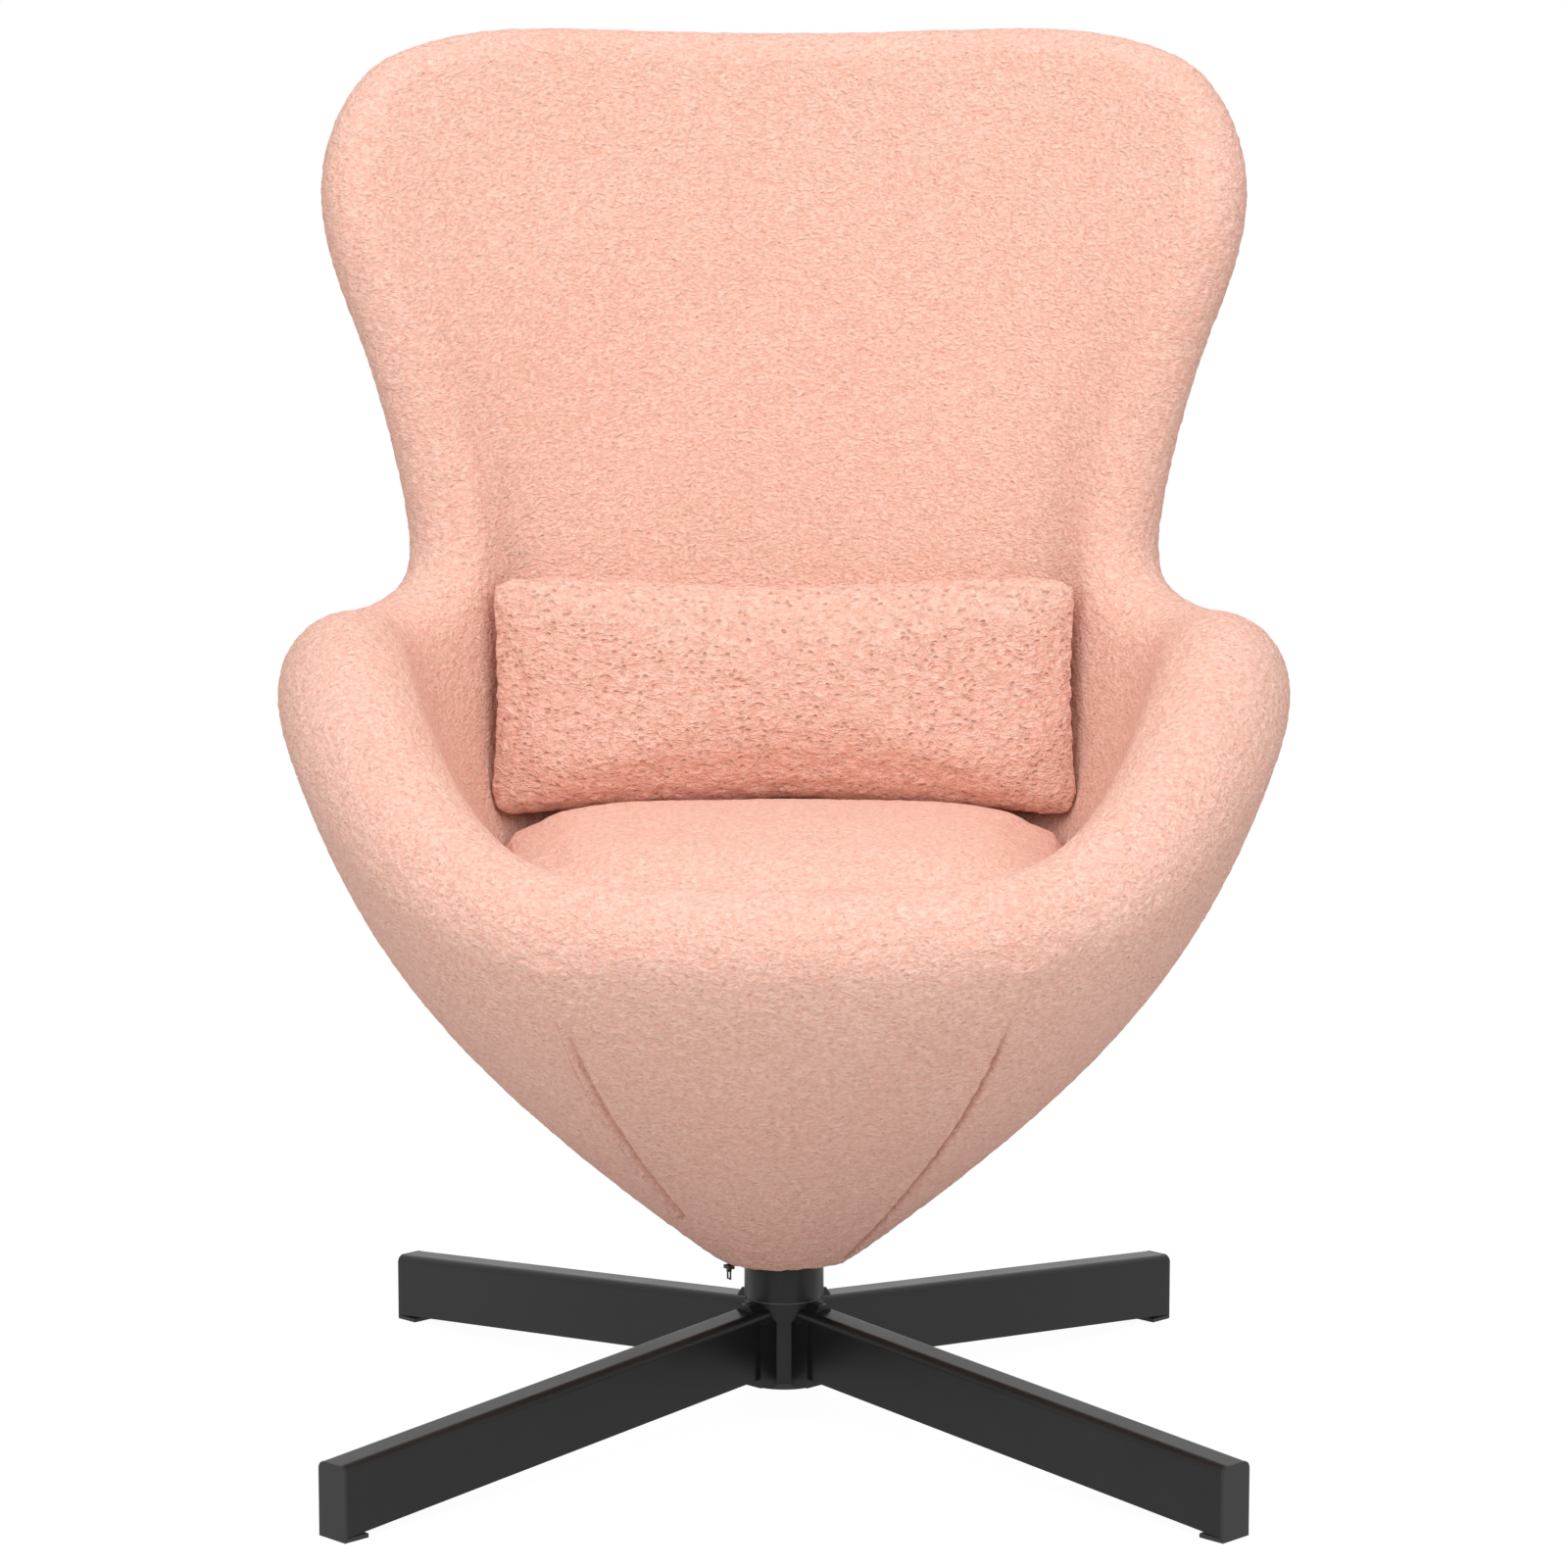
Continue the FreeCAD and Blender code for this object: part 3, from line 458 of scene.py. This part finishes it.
def keep_largest(shape: bmesh.types.BMesh) -> None:
    """Drop every loose part of a bmesh but the one with the most points.

    Args:
        shape: The bmesh to thin out.
    """
    seen = set()
    parts = []
    for vert in shape.verts:
        if vert in seen:
            continue
        seen.add(vert)
        part = [vert]
        for here in part:
            for link in here.link_edges:
                other = link.other_vert(here)
                if other not in seen:
                    seen.add(other)
                    part.append(other)
        parts.append(part)
    parts.sort(key=len)
    for part in parts[:-1]:
        bmesh.ops.delete(shape, geom=part, context="VERTS")


def settle_modifiers(piece: bpy.types.Object) -> None:
    """Replace an object's mesh by what its modifiers make of it.

    Args:
        piece: The object to change.
    """
    view = bpy.context.evaluated_depsgraph_get()
    mesh = bpy.data.meshes.new_from_object(piece.evaluated_get(view))
    piece.modifiers.clear()
    piece.data = mesh
    mesh.shade_smooth()


def subdivided(piece: bpy.types.Object, levels: int) -> None:
    """Subdivide an object smoothly and keep the result.

    Args:
        piece: The object to change.
        levels: How often each face is divided.
    """
    modifier = piece.modifiers.new("smooth", "SUBSURF")
    modifier.levels = levels
    modifier.render_levels = levels
    settle_modifiers(piece)


def remeshed(piece: bpy.types.Object, voxel: float) -> None:
    """Give an object an even closed mesh.

    Args:
        piece: The object to change.
        voxel: The new mesh's spacing, in metres.
    """
    modifier = piece.modifiers.new("even", "REMESH")
    modifier.mode = "VOXEL"
    modifier.voxel_size = voxel
    settle_modifiers(piece)


def corners(mesh: bpy.types.Mesh) -> np.ndarray:
    """Read a mesh's points.

    Args:
        mesh: The mesh.

    Returns:
        One row for each point.
    """
    flat = np.empty(len(mesh.vertices) * 3, np.float32)
    mesh.vertices.foreach_get("co", flat)
    return flat.reshape(-1, 3)


def set_corners(mesh: bpy.types.Mesh, points: np.ndarray) -> None:
    """Write a mesh's points back."""
    mesh.vertices.foreach_set("co", points.astype(np.float32).ravel())
    mesh.update()


def point_normals(mesh: bpy.types.Mesh) -> np.ndarray:
    """Read the normal at each of a mesh's points.

    Args:
        mesh: The mesh.

    Returns:
        One row for each point.
    """
    flat = np.empty(len(mesh.vertices) * 3, np.float32)
    mesh.vertex_normals.foreach_get("vector", flat)
    return flat.reshape(-1, 3)


def ruffled(piece: bpy.types.Object, nub: float, height: float, seed: float) -> None:
    """Raise a mesh into small uneven lumps.

    Args:
        piece: The object to change.
        nub: The size of a lump, in metres.
        height: How far lumps stand proud or sink, in metres.
        seed: Where in the noise to start.
    """
    points = corners(piece.data)
    shift = Vector((seed, 2 * seed, 3 * seed))
    lumps = np.array([noise.noise(Vector(p) / nub + shift) for p in points.tolist()], np.float32)
    set_corners(piece.data, points + point_normals(piece.data) * (lumps * height)[:, None])


def dressed(piece: bpy.types.Object, material: bpy.types.Material) -> None:
    """Give an object one material and no other."""
    piece.data.materials.clear()
    piece.data.materials.append(material)


# Sub-assemblies


@dataclass
class BowlUpholstery:
    """One continuous cover over the bowl, its rolled rim and its front panel."""

    rim_node: str = "inner_upholstery"
    cover_node: str = "outer_upholstery"
    panel_node: str = "front_panel"
    inner_nodes: tuple = ("seat_shell", "seat_board")
    hidden_gap: float = 2.6 * MM
    probe_back: float = 0.2 * MM
    weld: float = 1.6 * MM
    join_angle: float = math.radians(60)
    hem_height: float = 140 * MM
    detail: int = 4
    nub: float = 5 * MM
    nub_height: float = 0.9 * MM
    seed: float = 3.7
    seam_rise: float = 5 * MM
    seam_half: float = 7.0 * MM
    seam_steps: int = 4
    seam_samples: int = 60
    seam_back: float = 20 * MM
    seam_top: float = 450 * MM
    fade_low: float = 325 * MM
    fade_high: float = 372 * MM
    least_fade: float = 0.15
    foot_low: float = 124 * MM
    foot_high: float = 131 * MM
    groove: float = 4.2 * MM
    groove_width: float = 2.4 * MM
    ridge: float = 2.4 * MM
    ridge_shift: float = 1.0 * MM
    ridge_width: float = 2.6 * MM
    trough_share: float = 0.7
    trough_shift: float = 5.0 * MM
    trough_width: float = 2.2 * MM
    batch: int = 4000
    line: list = field(default_factory=list)

    def build(self) -> bpy.types.Object:
        """Make the cover as one smooth skin.

        Returns:
            The finished cover.
        """
        shape = self.outer_skin()
        seams = self.seam_edges(shape)
        self.cut_seams(shape, seams)
        piece = from_bmesh("bowl_cover", shape)
        subdivided(piece, self.detail - (0))
        self.shape_seams(piece)
        ruffled(piece, self.nub, self.nub_height, self.seed)
        return piece

    def outer_skin(self) -> bmesh.types.BMesh:
        """Copy the three nodes and keep only the faces that show.

        Returns:
            The welded skin, in four-sided faces where that is possible.
        """
        parts = [self.rim_node, self.cover_node, self.panel_node]
        shape = bmesh.new()
        for node in parts:
            part = bmesh.new()
            part.from_mesh(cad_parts[node].data)
            bmesh.ops.remove_doubles(part, verts=part.verts, dist=MERGE)
            others = [other for other in (*parts, *self.inner_nodes) if other != node]
            doomed = [face for face in part.faces if self.is_hidden(face, others)]
            bmesh.ops.delete(part, geom=doomed, context="FACES")
            mesh = bpy.data.meshes.new(node + "_skin")
            part.to_mesh(mesh)
            part.free()
            shape.from_mesh(mesh)
            bpy.data.meshes.remove(mesh)
        bmesh.ops.remove_doubles(shape, verts=shape.verts, dist=self.weld)
        keep_largest(shape)
        self.join_halves(shape)
        bmesh.ops.recalc_face_normals(shape, faces=shape.faces)
        return shape

    def is_hidden(self, face: bmesh.types.BMFace, others: list[str]) -> bool:
        """Tell whether a face lies against another node or inside the bowl's foot.

        Args:
            face: The face.
            others: The nodes that may cover it.

        Returns:
            True if the face never shows.
        """
        centre = face.calc_center_median()
        start = centre - face.normal * self.probe_back
        for name in others:
            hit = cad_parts[name].ray_cast(start, face.normal, distance=self.hidden_gap)
            if hit[0]:
                return True
        outward = Vector((centre.x, centre.y, 0)).normalized()
        low = centre.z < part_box("seat_board")[1].z
        return low and face.normal.dot(outward) < 0 and centre.z > self.hem_height

    def join_halves(self, shape: bmesh.types.BMesh) -> None:
        """Dissolve each panel's diagonal, the longest edge of both its halves.

        Args:
            shape: The welded skin.
        """
        diagonals = []
        for edge in shape.edges:
            faces = edge.link_faces
            if len(faces) != 2 or any(len(face.edges) != 3 for face in faces):
                continue
            length = edge.calc_length()
            if all(length >= max(e.calc_length() for e in face.edges) - 1e-7 for face in faces):
                diagonals.append(edge)
        bmesh.ops.dissolve_edges(shape, edges=diagonals, use_verts=False)
        loose = [face for face in shape.faces if len(face.edges) == 3]
        bmesh.ops.join_triangles(shape, faces=loose, angle_face_threshold=self.join_angle,
                                 angle_shape_threshold=self.join_angle)

    def seam_edges(self, shape: bmesh.types.BMesh) -> list[bmesh.types.BMEdge]:
        """Find the two seams between the front panel and the rest of the cover.

        Args:
            shape: The welded skin.

        Returns:
            The seams' edges.
        """
        homes = {}
        for node in (self.cover_node, self.panel_node):
            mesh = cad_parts[node].data
            tree = kdtree.KDTree(len(mesh.vertices))
            for vertex in mesh.vertices:
                tree.insert(vertex.co, vertex.index)
            tree.balance()
            homes[node] = {v for v in shape.verts if tree.find(v.co)[2] < self.weld}
        shared = homes[self.cover_node] & homes[self.panel_node]
        along = [edge for edge in shape.edges if set(edge.verts) <= shared]
        return [edge for edge in along
                if abs(edge.verts[0].co.z - edge.verts[1].co.z) > self.seam_rise]

    def cut_seams(self, shape: bmesh.types.BMesh, seams: list[bmesh.types.BMEdge]) -> None:
        """Run close loops along each seam, and remember its line.

        Args:
            shape: The welded skin.
            seams: The seams' edges.
        """
        self.line = [edge.verts[k].co.copy() for edge in seams for k in (0, 1)]
        log.info("seam edges: %d", len(seams))
        bmesh.ops.bevel(shape, geom=seams, offset=self.seam_half, offset_type="WIDTH",
                        affect="EDGES", segments=self.seam_steps, profile=0.5, material=-1)

    def shape_seams(self, piece: bpy.types.Object) -> None:
        """Sink a groove along each seam, raise the zip's edge on the sitter's right, and paint
        shade into the grooves.

        Args:
            piece: The cover.
        """
        ends = sorted({(round(p.x, 5), round(p.y, 5), round(p.z, 5)) for p in self.line})
        for side in (-1, 1):
            path = sorted((Vector(p) for p in ends if p[0] * side > 0), key=lambda p: p.z)
            if len(path) < 2:
                continue
            self.press_line(piece, path, side)

    def press_line(self, piece: bpy.types.Object, path: list[Vector], side: int) -> None:
        """Press one seam into the cover, and paint shade into its groove.

        Args:
            piece: The cover.
            path: The seam's points from the foot up.
            side: -1 for the sitter's right, 1 for the left.
        """
        points = corners(piece.data)
        normals = point_normals(piece.data)
        shade_marks = (piece.data.attributes.get(CLOTH.seam_shade_attribute)
                 or piece.data.attributes.new(CLOTH.seam_shade_attribute, "FLOAT", "POINT"))
        shade = np.empty(len(points), np.float32)
        shade_marks.data.foreach_get("value", shade)
        line = self.sampled(path)
        near = np.where((points[:, 0] * side > 0) & (points[:, 1] < self.seam_back)
                        & (points[:, 2] < self.seam_top))[0]
        for start in range(0, len(near), self.batch):
            chosen = near[start:start + self.batch]
            away = points[chosen][:, None, :] - line[None]
            closest = np.argmin((away ** 2).sum(2), axis=1)
            offset = away[np.arange(len(chosen)), closest]
            across = np.linalg.norm(offset, axis=1) * np.sign(offset[:, 0] * side)
            press = self.seam_press(across, side)
            fade = self.seam_fade(points[chosen, 2])
            points[chosen] += normals[chosen] * (press * fade)[:, None]
            # Painted shade along the groove, darkest where the cover is pressed in deepest.
            shade[chosen] = np.clip(-press / self.groove, 0, 1) ** 2 * fade
        set_corners(piece.data, points)
        shade_marks.data.foreach_set("value", shade)

    def sampled(self, path: list[Vector]) -> np.ndarray:
        """Set points close together along a seam.

        Args:
            path: The seam's points from the foot up.

        Returns:
            One row for each point.
        """
        knots = np.array([point[:] for point in path], np.float32)
        spans = len(knots) - 1
        steps = np.linspace(0, spans, self.seam_samples * spans)
        columns = [np.interp(steps, range(len(knots)), knots[:, axis]) for axis in range(3)]
        return np.stack(columns, axis=1)

    def seam_fade(self, height: np.ndarray) -> np.ndarray:
        """How much of a seam shows at each height.

        Args:
            height: Heights above the floor.

        Returns:
            Shares from 0 at the hem to 1, and a little at the rim.
        """
        upper = (self.fade_high - height) / (self.fade_high - self.fade_low)
        lower = (height - self.foot_low) / (self.foot_high - self.foot_low)
        return np.clip(upper, self.least_fade, 1) * np.clip(lower, 0, 1)

    def seam_press(self, across: np.ndarray, side: int) -> np.ndarray:
        """How far the cover stands proud at each distance from a seam.

        Args:
            across: Distances from the seam, positive away from the middle of the bowl.
            side: -1 for the sitter's right, 1 for the left.

        Returns:
            Heights above the plain cover.
        """
        if side > 0:
            return -self.groove * np.exp(-(across / self.groove_width) ** 2)
        press = self.ridge * np.exp(-((across - self.ridge_shift) / self.ridge_width) ** 2)
        trough = np.exp(-((across + self.trough_shift) / self.trough_width) ** 2)
        return press - self.groove * self.trough_share * trough


@dataclass
class StuffedPiece:
    """A loose cushion or pillow swelled from its CAD form."""

    name: str
    node: str
    core: str
    body: Body
    voxel: float
    pressure: float
    cap: float
    shrink: float
    nub: float
    nub_height: float
    fill: float
    seed: float
    give: float = 0.15
    frames: int = 20
    quality: int = 4
    stretch: float = 8.0
    bending: float = 2.0
    creases: list = field(default_factory=list)
    ears: list = field(default_factory=list)

    def build(self) -> bpy.types.Object:
        """Make the piece, swell it and add its nubs.

        Returns:
            The finished piece.
        """
        piece = copied(self.name, self.node)
        self.keep_outside(piece)
        remeshed(piece, self.voxel)
        self.draw_in(piece)
        self.swell(piece)
        subdivided(piece, 1)
        for crease in self.creases:
            crease.press(piece)
        for ear in self.ears:
            ear.pull(piece)
        ruffled(piece, self.nub, self.nub_height, self.seed)
        return piece

    def keep_outside(self, piece: bpy.types.Object) -> None:
        """Drop the cover's inner wall and keep the outer one.

        Args:
            piece: The cover.
        """
        shape = bmesh.new()
        shape.from_mesh(piece.data)
        keep_largest(shape)
        shape.to_mesh(piece.data)
        shape.free()

    def draw_in(self, piece: bpy.types.Object) -> None:
        """Start from a slightly smaller shape than the CAD solid."""
        points = corners(piece.data)
        set_corners(piece.data, points - point_normals(piece.data) * self.shrink)

    def swell(self, piece: bpy.types.Object) -> None:
        """Blow the cover up with cloth pressure, no further than the cap.

        Args:
            piece: The cover.
        """
        before = corners(piece.data).copy()
        cloth = piece.modifiers.new("cloth", "CLOTH")
        cloth.settings.use_pressure = True
        cloth.settings.uniform_pressure_force = self.pressure
        cloth.settings.effector_weights.gravity = 0.0
        cloth.settings.quality = self.quality
        cloth.settings.tension_stiffness = self.stretch
        cloth.settings.compression_stiffness = self.stretch
        cloth.settings.bending_stiffness = self.bending
        scene = bpy.context.scene
        for number in range(1, self.frames + 1):
            scene.frame_set(number)
        view = bpy.context.evaluated_depsgraph_get()
        swollen = bpy.data.meshes.new_from_object(piece.evaluated_get(view))
        after = corners(swollen)
        piece.modifiers.clear()
        scene.frame_set(1)
        move = after - before
        length = np.linalg.norm(move, axis=1)
        scale = np.minimum(1.0, self.cap / np.maximum(length, 1e-9))
        inward = (move * point_normals(piece.data)).sum(1) < 0
        scale[inward] *= self.give
        set_corners(piece.data, before + move * scale[:, None])
        bpy.data.meshes.remove(swollen)


@dataclass
class Crease:
    """A soft fold pressed into a stuffed piece."""

    start: tuple
    end: tuple
    depth: float
    width: float
    taper_start: float = 0.08
    taper_length: float = 0.9

    def press(self, piece: bpy.types.Object) -> None:
        """Press the fold into a mesh along the line from start to end.

        Args:
            piece: The stuffed piece.
        """
        points = corners(piece.data)
        normals = point_normals(piece.data)
        start, end = np.array(self.start, np.float32), np.array(self.end, np.float32)
        way = end - start
        share = np.clip(((points - start) @ way) / (way @ way), 0, 1)
        away = np.linalg.norm(points - (start + share[:, None] * way), axis=1)
        taper = np.sin(np.pi * np.clip(share * self.taper_length + self.taper_start, 0, 1))
        press = self.depth * np.exp(-(away / self.width) ** 2) * taper
        set_corners(piece.data, points - normals * press[:, None])


@dataclass
class Ear:
    """A corner of a cushion that stands out to a soft point."""

    corner: tuple
    pull_by: tuple
    reach: float

    def pull(self, piece: bpy.types.Object) -> None:
        """Draw the cloth near the corner outwards.

        Args:
            piece: The stuffed piece.
        """
        points = corners(piece.data)
        away = np.linalg.norm((points - np.array(self.corner, np.float32))[:, [0, 2]], axis=1)
        share = np.exp(-(away / self.reach) ** 2)
        set_corners(piece.data, points + share[:, None] * np.array(self.pull_by, np.float32))


@dataclass
class Metalwork:
    """The CAD nodes that stay, and the finish of each."""

    finishes: dict = field(default_factory=lambda: {
        PAINT: ("base_hub", "leg_front_right", "leg_rear_right", "leg_rear_left", "leg_front_left",
                "column_sleeve", "zip_slider", "zip_puller"),
        CAP: ("foot_front_right", "foot_rear_right", "foot_rear_left", "foot_front_left",
              "hub_bottom_disc", "bottom_trim_ring"),
        DARK_BUSH: ("upper_bush", "lower_bush", "thrust_washer"),
        ZINC: ("leg_screws", "swivel_spindle", "spindle_clip", "seat_plate", "plate_bolts",
               "tee_nuts"),
        SHELL: ("seat_shell",),
        FOAM: ("seat_cushion_foam",),
        FILLING: ("lumbar_pillow_filling",),
        Plywood(): ("seat_board",),
    })

    def dress(self) -> None:
        """Give every CAD node its material."""
        for finish, nodes in self.finishes.items():
            material = finish.material()
            for node in nodes:
                dressed(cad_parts[node], material)
            log.info("%s on %d nodes", finish.name, len(nodes))


@dataclass
class Studio:
    """Camera, floor, backdrop and soft lights."""

    distance: float = 3.105
    height: float = 0.868
    tilt: float = math.radians(7.06)
    lens: float = 96.5
    sensor: float = 36.0
    floor_size: float = 40.0
    floor_drop: float = 0.5 * MM
    floor_colour: tuple = (0.72, 0.72, 0.72, 1.0)
    floor_glow: float = 1.12
    whiteness: float = 0.85
    ambient: float = 0.46
    lamp_size: float = 2.6
    lamp_aim: tuple = (0.0, 0.0, 0.55)
    lamps: tuple = (("key", (-1.8, -3.1, 2.5), 64.0), ("fill", (1.8, -3.1, 2.5), 60.0),
                    ("top", (0.0, -0.9, 3.6), 40.0))

    def build(self) -> None:
        """Set up everything that isn't the chair."""
        self.camera()
        self.floor()
        self.world()
        for name, place, power in self.lamps:
            self.lamp(name, place, power)
        bpy.context.scene.view_settings.view_transform = "Standard"

    def camera(self) -> None:
        """Stand the camera in front of the chair, as in the photograph."""
        data = bpy.data.cameras.new("camera")
        data.lens = self.lens
        data.sensor_width = self.sensor
        camera = bpy.data.objects.new("camera", data)
        camera.location = (0.0, -self.distance, self.height)
        camera.rotation_euler = (math.pi / 2 - self.tilt, 0.0, 0.0)
        bpy.context.scene.collection.objects.link(camera)
        bpy.context.scene.camera = camera

    def floor(self) -> None:
        """Lay a plain pale floor that shows as white and keeps the shadow."""
        shape = bmesh.new()
        bmesh.ops.create_grid(shape, x_segments=1, y_segments=1, size=self.floor_size / 2)
        floor = from_bmesh("floor", shape)
        floor.location.z = -self.floor_drop
        recipe = Recipe("pale_floor")
        recipe.feed(base_color=self.floor_colour, roughness=0.9, specular_ior_level=0.1)
        white = recipe.node("Emission", None, {"Color": WHITE, "Strength": self.floor_glow})
        share = unlit_rays(recipe.tree) * self.whiteness
        blend = recipe.node("MixShader", None, {0: share, 1: recipe.shade(), 2: white})
        plug(recipe.tree, recipe.output.inputs[0], blend)
        dressed(floor, recipe.material)

    def world(self) -> None:
        """A white surround that camera, gloss and glass rays see, over a soft light."""
        world = bpy.data.worlds.new("studio")
        bpy.context.scene.world = world
        world.use_nodes = True
        tree = world.node_tree
        tree.nodes.clear()
        strength = unlit_rays(tree) * (1 - self.ambient) + self.ambient
        background = add_node(tree, "Background", None, {"Color": WHITE, "Strength": strength})
        add_node(tree, "OutputWorld", None, {0: Wire(tree, background.outputs[0])})

    def lamp(self, name: str, place: tuple, power: float) -> None:
        """Hang one soft square lamp that faces the chair.

        Args:
            name: The lamp's name.
            place: Where it hangs, in metres.
            power: Its power, in watts.
        """
        data = bpy.data.lights.new(name, "AREA")
        data.shape = "SQUARE"
        data.size = self.lamp_size
        data.energy = power
        lamp = bpy.data.objects.new(name, data)
        lamp.location = place
        aim = Vector(self.lamp_aim) - Vector(place)
        lamp.rotation_euler = aim.to_track_quat("-Z", "Y").to_euler()
        bpy.context.scene.collection.objects.link(lamp)


def pillow_ears() -> list[Ear]:
    """The pillow's four soft corners, from the box of its CAD node.

    Returns:
        Two upper and two lower corners.
    """
    low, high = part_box("lumbar_pillow")
    middle = (low.y + high.y) / 2
    upper = [Ear(corner=(x, middle, high.z - 8 * MM),
                 pull_by=(math.copysign(5 * MM, x), 0, 5 * MM), reach=20 * MM)
             for x in (low.x, high.x)]
    lower = [Ear(corner=(x, middle, low.z + 10 * MM),
                 pull_by=(math.copysign(3 * MM, x), -2 * MM, -9 * MM), reach=26 * MM)
             for x in (low.x, high.x)]
    return upper + lower


def pillow_creases() -> list[Crease]:
    """Short folds that run in from the pillow's lower corners.

    Returns:
        The folds.
    """
    low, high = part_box("lumbar_pillow")
    folds = []
    for side in (-1, 1):
        edge = side * high.x
        folds.append(Crease(start=(edge - side * 18 * MM, low.y + 30 * MM, low.z + 12 * MM),
                            end=(edge - side * 62 * MM, low.y + 8 * MM, low.z + 52 * MM),
                            depth=3.5 * MM, width=7 * MM))
        folds.append(Crease(start=(edge - side * 8 * MM, low.y + 50 * MM, low.z + 70 * MM),
                            end=(edge - side * 22 * MM, low.y + 30 * MM, low.z + 96 * MM),
                            depth=2.5 * MM, width=5 * MM))
    return folds


def main() -> None:
    """Build the chair's looks in order."""
    logging.basicConfig(level=logging.INFO)
    cover = BowlUpholstery().build()
    dressed(cover, CLOTH.material())
    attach(cover, Body.BOWL.value)
    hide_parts("inner_upholstery", "outer_upholstery", "front_panel")
    log.info("bowl cover: %d points", len(cover.data.vertices))
    cushion = StuffedPiece("seat_cushion_cover", "seat_cushion", "seat_cushion_foam",
                           Body.CUSHION, voxel=6 * MM, pressure=4.0, cap=6 * MM, shrink=2 * MM,
                           nub=6 * MM, nub_height=0.6 * MM, fill=0.9, seed=11.3)
    pillow = StuffedPiece("lumbar_pillow_cover", "lumbar_pillow", "lumbar_pillow_filling",
                          Body.PILLOW, voxel=4 * MM, pressure=4.0, cap=4 * MM, shrink=1 * MM,
                          nub=8 * MM, nub_height=1.1 * MM, fill=0.8, seed=5.1,
                          ears=pillow_ears(), creases=pillow_creases())
    for stuffed, finish, name in ((cushion, CLOTH, "boucle_fabric"),
                                  (pillow, PILLOW_CLOTH, "pillow_fabric")):
        piece = stuffed.build()
        dressed(piece, finish.material())
        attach(piece, stuffed.body.value)
        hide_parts(stuffed.node, stuffed.core)
        log.info("%s: %d points", stuffed.name, len(piece.data.vertices))
    Metalwork().dress()
    Studio().build()


if __name__ == "__main__":
    main()
